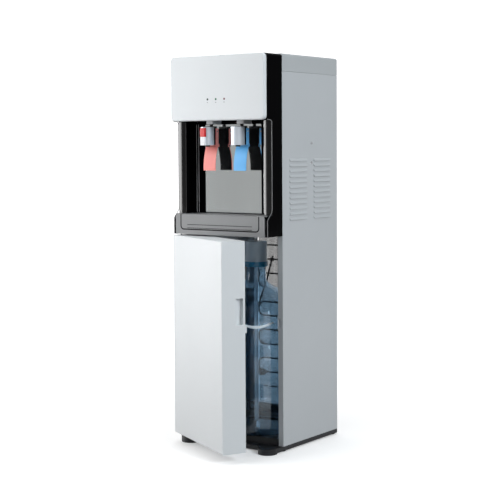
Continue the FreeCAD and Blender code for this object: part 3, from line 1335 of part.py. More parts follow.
def switch_frame(index):
    """Snap-in frame of a rear switch, with the pin that its rocker turns on."""
    x = switch_x(index)
    y = REAR - SHEET - SEAT_GAP
    half = SWITCH_WIDTH / 2
    rise = SWITCH_HEIGHT / 2
    flange = box((x - half - 3, x + half + 3), (y + 0.05, y + 1.2),
                 (SWITCH_Z - rise - 3, SWITCH_Z + rise + 3))
    can = box((x - half, x + half), (y - SWITCH_DEPTH, y + 1), (SWITCH_Z - rise, SWITCH_Z + rise))
    room = box((x - half + 0.9, x + half - 0.9), (y - SWITCH_DEPTH + 1.5, y + 2),
               (SWITCH_Z - rise + 0.9, SWITCH_Z + rise - 0.9))
    pin = rod(V(x - half, y - 4, SWITCH_Z), V(x + half, y - 4, SWITCH_Z), 1.5)
    return flange.fuse(can).removeSplitter().cut(room).fuse(pin).removeSplitter()


def switch_frames():
    """Both switch frames."""
    return Part.Compound([switch_frame(0), switch_frame(1)])


def drain_outlet():
    """Drain spout that passes through the rear panel from a flange inside it."""
    y = REAR - 2 * SHEET - SEAT_GAP
    flange = rod(V(DRAIN_X, y - 2.3, DRAIN_Z), V(DRAIN_X, y - 0.1, DRAIN_Z), DRAIN_RADIUS + 5)
    spout = rod(V(DRAIN_X, y - 14, DRAIN_Z), V(DRAIN_X, y + DRAIN_LENGTH, DRAIN_Z), DRAIN_RADIUS)
    bore = rod(V(DRAIN_X, y - 15, DRAIN_Z), V(DRAIN_X, y + DRAIN_LENGTH + 1, DRAIN_Z),
               DRAIN_RADIUS - DRAIN_WALL)
    return flange.fuse(spout).removeSplitter().cut(bore)


def drain_cap():
    """Ribbed cap on the drain spout."""
    y = REAR - 2 * SHEET - SEAT_GAP + DRAIN_LENGTH
    body = rod(V(DRAIN_X, y - 11, DRAIN_Z), V(DRAIN_X, y + 3, DRAIN_Z), DRAIN_RADIUS + 2.5)
    hollow = rod(V(DRAIN_X, y - 12, DRAIN_Z), V(DRAIN_X, y + 0.3, DRAIN_Z), DRAIN_RADIUS + 0.3)
    ribs = []
    for turn in range(8):
        angle = math.radians(45 * turn)
        x = DRAIN_X + (DRAIN_RADIUS + 2.5) * math.cos(angle)
        z = DRAIN_Z + (DRAIN_RADIUS + 2.5) * math.sin(angle)
        ribs.append(rod(V(x, y - 10, z), V(x, y + 2, z), 1.1))
    return body.fuse(ribs).removeSplitter().cut(hollow)


def cord_inlet():
    """Strain-relief gland where the mains cord enters."""
    y = REAR - SHEET - SEAT_GAP
    flange = rod(V(CORD_X, y + 0.05, CORD_Z), V(CORD_X, y + 2.5, CORD_Z), CORD_GLAND_RADIUS)
    neck = rod(V(CORD_X, y - 8, CORD_Z), V(CORD_X, y + 1, CORD_Z), CORD_GLAND_RADIUS - 1.7)
    tail = Part.makeCone(CORD_GLAND_RADIUS - 1.5, CORD_BORE + 1.4, 10, V(CORD_X, y + 2, CORD_Z), V(0, 1, 0))
    bore = rod(V(CORD_X, y - 9, CORD_Z), V(CORD_X, y + 13, CORD_Z), CORD_BORE)
    return flange.fuse([neck, tail]).removeSplitter().cut(bore)


# ================================================================ the assembly
def write_cabinet():
    """Base, panels, cover and shelves."""
    save("base_plinth", base_plinth())
    save("levelling_feet", levelling_feet())
    save("bottle_platform", bottle_platform())
    save("side_panel_left", mirrored(side_panel()))
    save("side_panel_right", notched_panel())
    save("side_screws", side_screws())
    save("top_cover", top_cover())
    save("rear_panel", rear_panel())
    save("compressor_shelf", compressor_shelf())
    save("tank_deck", tank_deck())


def write_front():
    """Housing, control panel, niche and tray."""
    save("front_housing", front_housing())
    save("control_panel", control_panel())
    save("indicator_lenses", indicator_lenses())
    save("control_board", control_board())
    save("niche_liner", niche_liner())
    save("niche_back_plate", niche_back_plate())
    save("tray_frame", tray_frame())
    save("drip_tray", drip_tray())
    save("drip_grille", drip_grille())


def write_taps():
    """Both taps and the child lock."""
    for name, x in (("hot", -TAP_X), ("cold", TAP_X)):
        save(name + "_tap_body", tap_body(x))
        save(name + "_tap_shell", tap_shell(x))
        save(name + "_tap_lever", tap_lever(x))
    save("tap_nozzles", both_sides(tap_nozzle(TAP_X)))
    save("tap_pivot_pins", both_sides(tap_pivot_pin(TAP_X)))
    save("tap_mounts", both_sides(tap_mount(TAP_X)))
    save("child_lock_housing", child_lock_housing())
    save("child_lock_button", child_lock_button())


def write_door():
    """The bottle door and what it hangs on and closes against."""
    save("door_shell", opened(door_shell()))
    save("door_liner", opened(door_liner()))
    save("door_bushes", opened(door_bushes()))
    save("door_catch", opened(door_catch()))
    save("catch_keeper", catch_keeper())
    save("hinge_bracket_lower", hinge_bracket_lower())
    save("hinge_pin_upper", hinge_pin_upper())


def write_bottle():
    """Bottle and suction probe."""
    save("bottle_shell", bottle_shell())
    save("probe_cap", probe_cap())
    save("probe_ring", probe_ring())
    save("dip_tube", dip_tube())
    save("supply_hose", supply_hose())


def write_machinery():
    """Cooling set, tanks, pump and rear fittings."""
    save("condenser_tube", condenser_tube())
    save("condenser_wires", condenser_wires())
    save("condenser_brackets", condenser_brackets())
    save("return_pipe", return_pipe())
    save("compressor", compressor())
    save("compressor_grommets", compressor_grommets())
    save("filter_drier", filter_drier())
    save("cold_tank", cold_tank())
    save("hot_tank", hot_tank())
    save("tank_jackets", tank_jackets())
    save("water_pump", water_pump())
    save("heating_switch", switch_rocker(0))
    save("cooling_switch", switch_rocker(1))
    save("switch_frames", switch_frames())
    save("drain_outlet", drain_outlet())
    save("drain_cap", drain_cap())
    save("cord_inlet", cord_inlet())


os.makedirs("parts", exist_ok=True)
write_cabinet()
write_front()
write_taps()
write_door()
write_bottle()
write_machinery()
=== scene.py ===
"""Looks of a bottom load water cooler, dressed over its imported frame."""

import logging
import math
from dataclasses import dataclass, field
from enum import Enum

import bmesh
import bpy
from mathutils import Matrix, Vector


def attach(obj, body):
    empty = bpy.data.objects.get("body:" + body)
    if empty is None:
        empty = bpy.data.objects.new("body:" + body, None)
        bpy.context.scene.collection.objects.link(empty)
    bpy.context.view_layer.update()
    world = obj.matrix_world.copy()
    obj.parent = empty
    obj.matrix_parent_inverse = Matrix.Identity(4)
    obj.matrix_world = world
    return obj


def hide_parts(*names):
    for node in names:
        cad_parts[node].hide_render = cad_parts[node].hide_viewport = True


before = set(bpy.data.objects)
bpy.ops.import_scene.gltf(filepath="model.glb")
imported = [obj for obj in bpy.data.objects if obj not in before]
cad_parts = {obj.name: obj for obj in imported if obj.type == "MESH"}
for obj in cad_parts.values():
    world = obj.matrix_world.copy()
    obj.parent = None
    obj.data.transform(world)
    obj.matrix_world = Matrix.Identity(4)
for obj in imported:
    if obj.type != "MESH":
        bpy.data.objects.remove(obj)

LOG = logging.getLogger("water_cooler")
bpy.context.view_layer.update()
Colour = tuple[float, float, float]
Point = tuple[float, float, float]
Size = tuple[float, float]
WHITE: Colour = (1.0, 1.0, 1.0)
SIDES = (("left", -1), ("right", 1))
MERGE_DISTANCE = 1e-6
NOISE_MIDDLE = (0.3, 0.7)
DRIFT_NOISE = (9.0, 3.0)
PATCH_NOISE = (38.0, 4.0)
GRAIN_DETAIL = 2.0
LEAST_ROUGHNESS = 0.02
COAT_ROUGHNESS = 0.05
BUMP_HEIGHT = 0.0004


class Grain(Enum):
    """How the fine texture of a finish runs."""

    EVEN = (1.0, 1.0, 1.0)
    ACROSS = (0.02, 1.0, 1.0)
    UPRIGHT = (1.0, 1.0, 0.02)


class NodeSheet:
    """A material's node tree, with short ways to add and join nodes."""

    def __init__(self, name: str) -> None:
        """Start a material.

        Args:
            name: The material's name.
        """
        self.material = bpy.data.materials.new(name)
        self.material.use_nodes = True
        self.tree = self.material.node_tree
        self.shader = self.tree.nodes["Principled BSDF"]
        self.place = self.tree.nodes.new("ShaderNodeTexCoord").outputs["Object"]

    def node(self, kind: str, **values: object) -> bpy.types.Node:
        """Add a node and set its plain properties.

        Args:
            kind: The node's type name.
            **values: Properties of the node.

        Returns:
            The new node.
        """
        made = self.tree.nodes.new(kind)
        for key, value in values.items():
            setattr(made, key, value)
        return made

    def join(self, source: bpy.types.NodeSocket, target: bpy.types.NodeSocket) -> None:
        """Link one socket to another."""
        self.tree.links.new(source, target)

    def noise(self, scale: float, detail: float, run: Grain = Grain.EVEN) -> bpy.types.NodeSocket:
        """Add a noise field over the object's own space.

        Args:
            scale: Cells to the metre.
            detail: Octaves.
            run: Direction in which the cells are drawn out.

        Returns:
            The noise value's socket.
        """
        mapping = self.node("ShaderNodeMapping")
        mapping.inputs["Scale"].default_value = run.value
        self.join(self.place, mapping.inputs["Vector"])
        noise = self.node("ShaderNodeTexNoise")
        noise.inputs["Scale"].default_value = scale
        noise.inputs["Detail"].default_value = detail
        self.join(mapping.outputs["Vector"], noise.inputs["Vector"])
        return noise.outputs["Fac"]

    def remap(self, source: bpy.types.NodeSocket, low: float,
              high: float) -> bpy.types.NodeSocket:
        """Stretch the middle of a noise field over a range.

        Args:
            source: A value from 0 to 1.
            low: Result at the middle's lower end.
            high: Result at the middle's upper end.

        Returns:
            The remapped value's socket.
        """
        return self.ramp(source, NOISE_MIDDLE, (low, high))

    def ramp(self, source: bpy.types.NodeSocket, start: Size, result: Size = (0.0, 1.0),
             shape: str = "LINEAR") -> bpy.types.NodeSocket:
        """Turn one range of a value into another, and hold it beyond the ends.

        Args:
            source: The value.
            start: Its lower and upper end.
            result: What they become.
            shape: How it runs between them.

        Returns:
            The new value's socket.
        """
        made = self.node("ShaderNodeMapRange", interpolation_type=shape)
        made.inputs["From Min"].default_value, made.inputs["From Max"].default_value = start
        made.inputs["To Min"].default_value, made.inputs["To Max"].default_value = result
        self.join(source, made.inputs["Value"])
        return made.outputs["Result"]

    def blend(self, factor: bpy.types.NodeSocket, first: Colour,
              second: Colour) -> bpy.types.NodeSocket:
        """Mix two colours by a value.

        Args:
            factor: Share of the second colour.
            first: Colour at 0.
            second: Colour at 1.

        Returns:
            The mixed colour's socket.
        """
        mix = self.node("ShaderNodeMix", data_type="RGBA")
        mix.inputs["A"].default_value = (*first, 1.0)
        mix.inputs["B"].default_value = (*second, 1.0)
        self.join(factor, mix.inputs["Factor"])
        return mix.outputs["Result"]


@dataclass(frozen=True)
class Finish:
    """An opaque surface with colour drift, a fine grain and uneven gloss."""

    name: str
    colour: Colour
    roughness: float
    metallic: float = 0.0
    specular: float = 0.5
    coat: float = 0.0
    grain: float = 700.0
    depth: float = 0.04
    drift: float = 0.03
    scuff: float = 0.04
    run: Grain = Grain.EVEN

    def shade(self, step: float) -> Colour:
        """The colour made a little lighter or darker."""
        return tuple(min(1.0, max(0.0, part * (1.0 + step))) for part in self.colour)

    def material(self) -> bpy.types.Material:
        """Build the material.

        Returns:
            A material whose colour, gloss and bump come from noise on object coordinates.
        """
        sheet = NodeSheet(self.name)
        shader = sheet.shader
        shader.inputs["Metallic"].default_value = self.metallic
        shader.inputs["Specular IOR Level"].default_value = self.specular
        shader.inputs["Coat Weight"].default_value = self.coat
        shader.inputs["Coat Roughness"].default_value = COAT_ROUGHNESS
        broad = sheet.remap(sheet.noise(*DRIFT_NOISE, self.run), 0.0, 1.0)
        sheet.join(sheet.blend(broad, self.shade(-self.drift), self.shade(self.drift)),
                   shader.inputs["Base Color"])
        patches = sheet.noise(*PATCH_NOISE, self.run)
        smoothest = max(LEAST_ROUGHNESS, self.roughness - self.scuff)
        sheet.join(sheet.remap(patches, smoothest, self.roughness + self.scuff),
                   shader.inputs["Roughness"])
        bump = sheet.node("ShaderNodeBump")
        bump.inputs["Strength"].default_value = self.depth
        bump.inputs["Distance"].default_value = BUMP_HEIGHT
        sheet.join(sheet.noise(self.grain, GRAIN_DETAIL, self.run), bump.inputs["Height"])
        sheet.join(bump.outputs["Normal"], shader.inputs["Normal"])
        self.adjust(sheet)
        return sheet.material

    def adjust(self, sheet: NodeSheet) -> None:
        """Change the finished sheet; plain finishes leave it."""


@dataclass(frozen=True)
class ClearFinish(Finish):
    """A see-through plastic or glass."""

    clearness: float = 1.0
    index: float = 1.45

    def adjust(self, sheet: NodeSheet) -> None:
        """Let light through the surface."""
        sheet.shader.inputs["Transmission Weight"].default_value = self.clearness
        sheet.shader.inputs["IOR"].default_value = self.index


@dataclass(frozen=True)
class RearShadedFinish(Finish):
    """A coloured plastic with painted shade on the faces that look back into the cooler: they are
    darkened and dulled by their normal.
    """

    # painted shade: colour and gloss for the faces that look back into the cooler, which the lamps
    # leave in shade
    painted_shade: Colour = (0.004, 0.004, 0.005)
    painted_shade_specular: float = 0.02
    turn: Size = (0.2, 0.4)

    def adjust(self, sheet: NodeSheet) -> None:
        """Paint shade on the faces that look towards +Y: a darker colour and less gloss."""
        parts = sheet.node("ShaderNodeSeparateXYZ")
        sheet.join(sheet.place.node.outputs["Normal"], parts.inputs["Vector"])
        # mask of the painted shade, by how far the face's normal looks towards +Y
        edge = sheet.ramp(parts.outputs["Y"], self.turn)
        base = sheet.shader.inputs["Base Color"]
        front = base.links[0].from_socket
        mix = sheet.node("ShaderNodeMix", data_type="RGBA")
        mix.inputs["B"].default_value = (*self.painted_shade, 1.0)
        sheet.join(front, mix.inputs["A"])
        sheet.join(edge, mix.inputs["Factor"])
        sheet.join(mix.outputs["Result"], base)
        sheet.join(sheet.ramp(edge, (0.0, 1.0), (self.specular, self.painted_shade_specular)),
                   sheet.shader.inputs["Specular IOR Level"])


@dataclass(frozen=True)
class LitFinish(Finish):
    """A plastic with a lamp behind it."""

    glow: float = 0.0

    def adjust(self, sheet: NodeSheet) -> None:
        """Add a little light of the surface's own colour."""
        sheet.shader.inputs["Emission Color"].default_value = (*self.colour, 1.0)
        sheet.shader.inputs["Emission Strength"].default_value = self.glow


@dataclass(frozen=True)
class FloorFinish(Finish):
    """A pale floor that turns into the white backdrop away from the cooler."""

    reach: Size = (0.25, 1.6)
    light: Size = (0.22, 0.80)

    def adjust(self, sheet: NodeSheet) -> None:
        """Raise the floor's own light with the distance from the middle."""
        away = sheet.node("ShaderNodeVectorMath", operation="LENGTH")
        sheet.join(sheet.place, away.inputs[0])
        level = sheet.ramp(away.outputs["Value"], self.reach, self.light, "SMOOTHSTEP")
        sheet.shader.inputs["Emission Color"].default_value = (*WHITE, 1.0)
        sheet.join(level, sheet.shader.inputs["Emission Strength"])


SATIN_WHITE = Finish("satin_white", (0.75, 0.78, 0.80), 0.45, specular=0.15, depth=0.03,
                     drift=0.008)
LINER_WHITE = Finish("liner_white", (0.72, 0.75, 0.78), 0.5, depth=0.06, drift=0.012)
PANEL_GREY = Finish("panel_grey", (0.475, 0.50, 0.52), 0.42, grain=1400.0, depth=0.08,
                    drift=0.012)
COVER_GREY = Finish("cover_grey", (0.42, 0.445, 0.46), 0.45, depth=0.07, drift=0.012)
ZINC = Finish("zinc", (0.55, 0.56, 0.57), 0.42, metallic=1.0, grain=160.0, depth=0.08, drift=0.12,
              scuff=0.1)
GLOSS_BLACK = Finish("gloss_black", (0.0006, 0.0006, 0.001), 0.1, specular=0.02, depth=0.01,
                     drift=0.1, scuff=0.02)
PIANO_BLACK = Finish("piano_black", (0.001, 0.001, 0.0015), 0.14, depth=0.01, drift=0.1, scuff=0.02)
# painted highlight: a grey for beads that stand for light caught on rounded black edges
PAINTED_EDGE_HIGHLIGHT = Finish("painted_edge_highlight", (0.15, 0.155, 0.16), 0.35, coat=0.3, depth=0.02)
MATT_BLACK = Finish("matt_black", (0.009, 0.0095, 0.011), 0.5, specular=0.3, depth=0.12, drift=0.1)
TRAY_GREY = Finish("tray_grey", (0.20, 0.205, 0.21), 0.42, specular=0.3, grain=1100.0, depth=0.1)
MIRROR_STEEL = Finish("mirror_steel", (0.86, 0.90, 0.90), 0.06, metallic=1.0, grain=900.0,
                      depth=0.01, drift=0.01, scuff=0.015, run=Grain.UPRIGHT)
SILVER = Finish("silver", (0.52, 0.56, 0.61), 0.42, metallic=0.4, grain=1500.0, depth=0.03,
                drift=0.02, scuff=0.01)
# the levers' faces that look back into the cooler carry painted shade
RED = RearShadedFinish("tinted_red", (0.98, 0.31, 0.28), 0.2, depth=0.02)
BLUE = RearShadedFinish("tinted_blue", (0.15, 0.50, 0.94), 0.2, depth=0.02)
LOCK_RED = Finish("lock_red", (0.62, 0.02, 0.02), 0.3, depth=0.02)
LOCK_WHITE = Finish("lock_white", (0.85, 0.87, 0.9), 0.25, depth=0.02)
PALE_GREY = Finish("pale_grey", (0.50, 0.52, 0.54), 0.4, depth=0.05)
TAP_BLACK = Finish("tap_black", (0.004, 0.004, 0.005), 0.28, specular=0.15, depth=0.04)
BOARD_GREEN = Finish("board_green", (0.02, 0.12, 0.04), 0.4, grain=300.0, depth=0.1, drift=0.15)
STEEL = Finish("steel", (0.56, 0.57, 0.58), 0.26, metallic=1.0, grain=500.0, depth=0.05, drift=0.05)
RUBBER = Finish("rubber", (0.014, 0.014, 0.014), 0.72, specular=0.3, grain=500.0, depth=0.2,
                drift=0.1)
BOTTLE_BLUE = ClearFinish("bottle_blue", (0.50, 0.67, 0.81), 0.03, coat=0.6, grain=110.0,
                          depth=0.10, drift=0.02, scuff=0.02, index=1.14)
PROBE_GREY = Finish("probe_grey", (0.47, 0.58, 0.67), 0.4, depth=0.04)
RING_BLUE = Finish("ring_blue", (0.01, 0.21, 0.40), 0.3, depth=0.04)
NATURAL = Finish("natural_white", (0.72, 0.75, 0.78), 0.4, depth=0.04)
# painted highlight: near-white opaque colour for the bottle grip's lip
PAINTED_GRIP_HIGHLIGHT = Finish("painted_grip_highlight", (0.78, 0.86, 0.92), 0.15, depth=0.02, coat=0.5)
# painted highlight: a grey for beads that stand for light lines in the niche's back corners
PAINTED_CORNER_HIGHLIGHT = Finish("painted_corner_highlight", (0.42, 0.425, 0.43), 0.35, coat=0.3, depth=0.02)
# painted shade: near black for strips that stand for shade in the tray's groove and under its
# ridges
PAINTED_TRAY_SHADE = Finish("painted_tray_shade", (0.006, 0.006, 0.007), 0.6, specular=0.1, depth=0.02)
BAR_GREY = Finish("bar_grey", (0.14, 0.145, 0.15), 0.5, depth=0.02)
LAMP_OFF = Finish("lamp_off", (0.03, 0.055, 0.055), 0.15, coat=0.6, depth=0.02)
LAMP_GREEN = LitFinish("lamp_green", (0.01, 0.13, 0.07), 0.15, coat=0.6, depth=0.02, glow=0.1)
LAMP_RED = LitFinish("lamp_red", (0.10, 0.008, 0.018), 0.15, coat=0.6, depth=0.02, glow=0.1)
SILICONE = ClearFinish("silicone", (0.85, 0.88, 0.9), 0.3, depth=0.05, clearness=0.6, index=1.41)
PAINTED_TUBE = Finish("painted_tube", (0.01, 0.01, 0.011), 0.3, grain=400.0, depth=0.1, drift=0.15)
COPPER = Finish("copper", (0.85, 0.42, 0.26), 0.28, metallic=1.0, grain=200.0, depth=0.06,
                drift=0.15, scuff=0.08)
STAINLESS = Finish("stainless", (0.58, 0.58, 0.59), 0.22, metallic=1.0, depth=0.06,
                   run=Grain.ACROSS)
FOAM = Finish("foam", (0.80, 0.80, 0.76), 0.85, specular=0.2, grain=320.0, depth=0.5, drift=0.04)
PUMP_GREY = Finish("pump_grey", (0.10, 0.105, 0.11), 0.45, depth=0.08)
ROCKER_RED = LitFinish("rocker_red", (0.55, 0.02, 0.02), 0.25, depth=0.02, glow=0.05)
ROCKER_GREEN = LitFinish("rocker_green", (0.02, 0.28, 0.06), 0.25, depth=0.02, glow=0.05)

NODE_FINISHES: dict[Finish, tuple[str, ...]] = {
    SATIN_WHITE: ("control_panel", "door_shell"),
    LINER_WHITE: ("door_liner",),
    PANEL_GREY: ("side_panel_left", "side_panel_right", "rear_panel"),
    COVER_GREY: ("top_cover",),
    ZINC: ("compressor_shelf", "tank_deck"),
    GLOSS_BLACK: ("front_housing", "niche_liner"),
    MATT_BLACK: ("base_plinth", "bottle_platform", "switch_frames", "cord_inlet",
                 "condenser_brackets"),
    TRAY_GREY: ("tray_frame", "drip_tray", "drip_grille"),
    MIRROR_STEEL: ("niche_back_plate",),
    SILVER: ("hot_tap_shell", "cold_tap_shell"),
    LOCK_WHITE: ("child_lock_housing",),
    LOCK_RED: ("child_lock_button",),
    RED: ("hot_tap_lever",),
    BLUE: ("cold_tap_lever",),
    TAP_BLACK: ("hot_tap_body", "cold_tap_body", "tap_nozzles"),
    PALE_GREY: ("tap_mounts",),
    BOARD_GREEN: ("control_board",),
    STEEL: ("tap_pivot_pins", "side_screws", "hinge_bracket_lower", "hinge_pin_upper"),
    RUBBER: ("levelling_feet", "compressor_grommets"),
    BOTTLE_BLUE: ("bottle_shell",),
    PROBE_GREY: ("probe_cap",),
    RING_BLUE: ("probe_ring",),
    NATURAL: ("door_bushes", "door_catch", "catch_keeper", "dip_tube", "drain_outlet",
              "drain_cap"),
    SILICONE: ("supply_hose",),
    PAINTED_TUBE: ("condenser_tube", "return_pipe", "compressor"),
    COPPER: ("filter_drier",),
    STAINLESS: ("cold_tank", "hot_tank"),
    FOAM: ("tank_jackets",),
    PUMP_GREY: ("water_pump",),
    ROCKER_RED: ("heating_switch",),
    ROCKER_GREEN: ("cooling_switch",),
}


def add_object(name: str, data: bpy.types.ID) -> bpy.types.Object:
    """Put a mesh, a light or a camera into the scene.

    Args:
        name: The object's name.
        data: What it holds.

    Returns:
        The object.
    """
    made = bpy.data.objects.new(name, data)
    bpy.context.scene.collection.objects.link(made)
    return made


def spin_outline(mesh: bmesh.types.BMesh, outline: list[Point], centre: Point, axis: Point,
                 steps: int) -> None:
    """Turn an open outline all the way round an axis.

    Args:
        mesh: Where the surface goes.
        outline: Its points.
        centre: A point on the axis.
        axis: The axis's direction.
        steps: Facets round it.
    """
    points = [mesh.verts.new(point) for point in outline]
    edges = [mesh.edges.new(pair) for pair in zip(points, points[1:])]
    bmesh.ops.spin(mesh, geom=points + edges, cent=centre, axis=axis, dvec=(0.0, 0.0, 0.0),
                   angle=math.tau, steps=steps, use_merge=True, use_duplicate=False)
    bmesh.ops.remove_doubles(mesh, verts=mesh.verts, dist=MERGE_DISTANCE)


def extrude_outline(mesh: bmesh.types.BMesh, outline: list[Point], along: Point) -> None:
    """Make a solid by drawing a closed outline out.

    Args:
        mesh: Where the solid goes.
        outline: The corners of its end face.
        along: How far it is drawn, and where to.
    """
    face = mesh.faces.new([mesh.verts.new(point) for point in outline])
    raised = bmesh.ops.extrude_face_region(mesh, geom=[face])["geom"]
    bmesh.ops.translate(mesh, vec=along,
                        verts=[item for item in raised if isinstance(item, bmesh.types.BMVert)])


def skin_rings(mesh: bmesh.types.BMesh, rings: list[list[Point]]) -> None:
    """Join rings of points into a tube and cap both ends.

    Args:
        mesh: Where the tube goes.
        rings: The points of each section, all of the same count.
    """
    placed = [[mesh.verts.new(point) for point in ring] for ring in rings]
    for first, second in zip(placed, placed[1:]):
        for turn in range(len(first)):
            after = (turn + 1) % len(first)
            mesh.faces.new((first[turn], first[after], second[after], second[turn]))
    mesh.faces.new(placed[0])
    mesh.faces.new(placed[-1])


def sweep(mesh: bmesh.types.BMesh, path: list[Vector], radius: float, sides: int = 10) -> None:
    """Sweep a round section along a path of points and cap its ends.

    Args:
        mesh: Where the tube goes.
        path: Its points.
        radius: Its radius.
        sides: Corners of its section.
    """
    rings = []
    for index, point in enumerate(path):
        before = path[max(0, index - 1)]
        after = path[min(len(path) - 1, index + 1)]
        ahead = (after - before).normalized()
        side = ahead.cross(Vector((1.0, 0.0, 0.0))).normalized()
        up = side.cross(ahead)
        angles = [math.tau * turn / sides for turn in range(sides)]
        rings.append([point + radius * (math.cos(angle) * side + math.sin(angle) * up)
                      for angle in angles])
    skin_rings(mesh, rings)


@dataclass
class Piece:
    """A new piece of the scene: a mesh with its finish and body; its slot is held here but not set
    on the object.
    """

    name: str
    body: str
    slot: str
    finish: Finish
    replaced: tuple[str, ...] = ()

    def place(self, mesh: bmesh.types.BMesh, smooth_angle: float = 35.0) -> bpy.types.Object:
        """Turn a finished bmesh into an object that rides on its body.

        Args:
            mesh: The shape, in the row frame.
            smooth_angle: Edges sharper than this many degrees stay sharp.

        Returns:
            The object.
        """
        bmesh.ops.recalc_face_normals(mesh, faces=mesh.faces)
        limit = math.radians(smooth_angle)
        for face in mesh.faces:
            face.smooth = True
        for edge in mesh.edges:
            edge.smooth = edge.calc_face_angle(0.0) < limit
        data = bpy.data.meshes.new(self.name)
        mesh.to_mesh(data)
        mesh.free()
        data.materials.append(self.finish.material())
        made = add_object(self.name, data)
        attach(made, self.body)
        if self.replaced:
            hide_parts(*self.replaced)
        LOG.info("%s: %d faces", self.name, len(data.polygons))
        return made


@dataclass
class CadDress:
    """Finishes for the nodes that show as they are."""

    finishes: dict[Finish, tuple[str, ...]] = field(default_factory=lambda: NODE_FINISHES)

    def dress(self) -> None:
        """Give every listed node its finish."""
        for finish, names in self.finishes.items():
            material = finish.material()
            for name in names:
                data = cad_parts[name].data
                data.materials.clear()
                data.materials.append(material)
            LOG.info("%s dresses %s", finish.name, ", ".join(names))


@dataclass
class Bottle:
    """Blown bottle with a thin wall, two waists and a round shoulder; the moulded grip's lip is
    laid on by BottleGrip.
    """

    axis: tuple[float, float] = (0.0, -0.038)
    body: float = 0.1346
    wall: float = 0.0013
    steps: int = 120
    foot: tuple[Size, ...] = (
        (0.0, 0.0377), (0.070, 0.0377), (0.094, 0.0372), (0.101, 0.0345), (0.108, 0.0320),
        (0.116, 0.0318), (0.124, 0.0345), (0.130, 0.0410))
    waists: tuple[float, ...] = (0.1785, 0.2814)
    waist: tuple[Size, ...] = (
        (0.0, -0.0120), (0.001, -0.0085), (0.0034, -0.004), (0.004, 0.0), (0.0034, 0.004),
        (0.001, 0.0085), (0.0, 0.0120))
    shoulder: tuple[Size, ...] = (
        (0.1306, 0.3685), (0.1262, 0.3780), (0.1205, 0.3850), (0.1130, 0.3915), (0.1045, 0.3975),
        (0.0940, 0.4030), (0.0825, 0.4082), (0.0710, 0.4140), (0.0610, 0.4203), (0.0500, 0.4255),
        (0.0410, 0.4300), (0.0345, 0.4352), (0.0300, 0.4405), (0.0276, 0.4460), (0.0272, 0.4560),
        (0.0272, 0.5214))

    def section(self) -> list[Size]:
        """Half section of the outer face, from the middle of the base to the mouth.

        Returns:
            Pairs of radius and height.
        """
        pairs = [*self.foot, (self.body - 0.001, 0.0500), (self.body, 0.0600)]
        pairs += [(self.body - sink, middle + rise) for middle in self.waists
                  for sink, rise in self.waist]
        return [*pairs, (self.body, 0.345), (self.body - 0.0012, 0.357), *self.shoulder]

    def build(self) -> None:
        """Spin the wall and give it its thickness."""
        mesh = bmesh.new()
        x, y = self.axis
        outline = [(x + radius, y, height) for radius, height in self.section()]
        spin_outline(mesh, outline, (x, y, 0.0), (0.0, 0.0, 1.0), self.steps)
        piece = Piece("bottle_wall", "cabinet", "bottle_blue", BOTTLE_BLUE, ("bottle_shell",))
        thick = piece.place(mesh, 60.0).modifiers.new("wall", "SOLIDIFY")
        thick.thickness = self.wall
        thick.offset = -1.0


@dataclass
class BottleGrip:
    """Raised lip of the moulded grip across the front of the bottle's body, coloured near white as
    a painted highlight.
    """

    axis: tuple[float, float] = (0.0, -0.038)
    start: float = -76.0
    span: float = 42.0
    height: float = 0.3410
    sag: float = 0.0125
    edge: float = 0.0005
    swell: float = 0.0034
    seat: float = 0.1346 - 0.0004
    proud: float = 0.0011
    buried: float = -0.3
    steps: int = 28
    sides: int = 8

    def ring(self, share: float) -> list[Point]:
        """One section of the lip.

        Args:
            share: How far along the lip it is, from 0 to 1.

        Returns:
            The section's points.
        """
        x, y = self.axis
        turn = math.radians(self.start + self.span * share)
        height = self.height - self.sag * math.sin(math.pi * share)
        half = self.edge + self.swell * math.sin(math.pi * share) ** 0.5
        points = []
        for corner in range(self.sides):
            angle = math.tau * corner / self.sides
            out = self.seat + self.proud * max(self.buried, math.cos(angle))
            points.append((x + out * math.cos(turn), y + out * math.sin(turn),
                           height + half * math.sin(angle)))
        return points

    def build(self) -> None:
        """Lay the lip across the bottle."""
        mesh = bmesh.new()
        skin_rings(mesh, [self.ring(step / self.steps) for step in range(self.steps + 1)])
        # the lip is real; its near-white colour is a painted highlight
        Piece("bottle_grip", "cabinet", "bottle_blue", PAINTED_GRIP_HIGHLIGHT).place(mesh, 60.0)


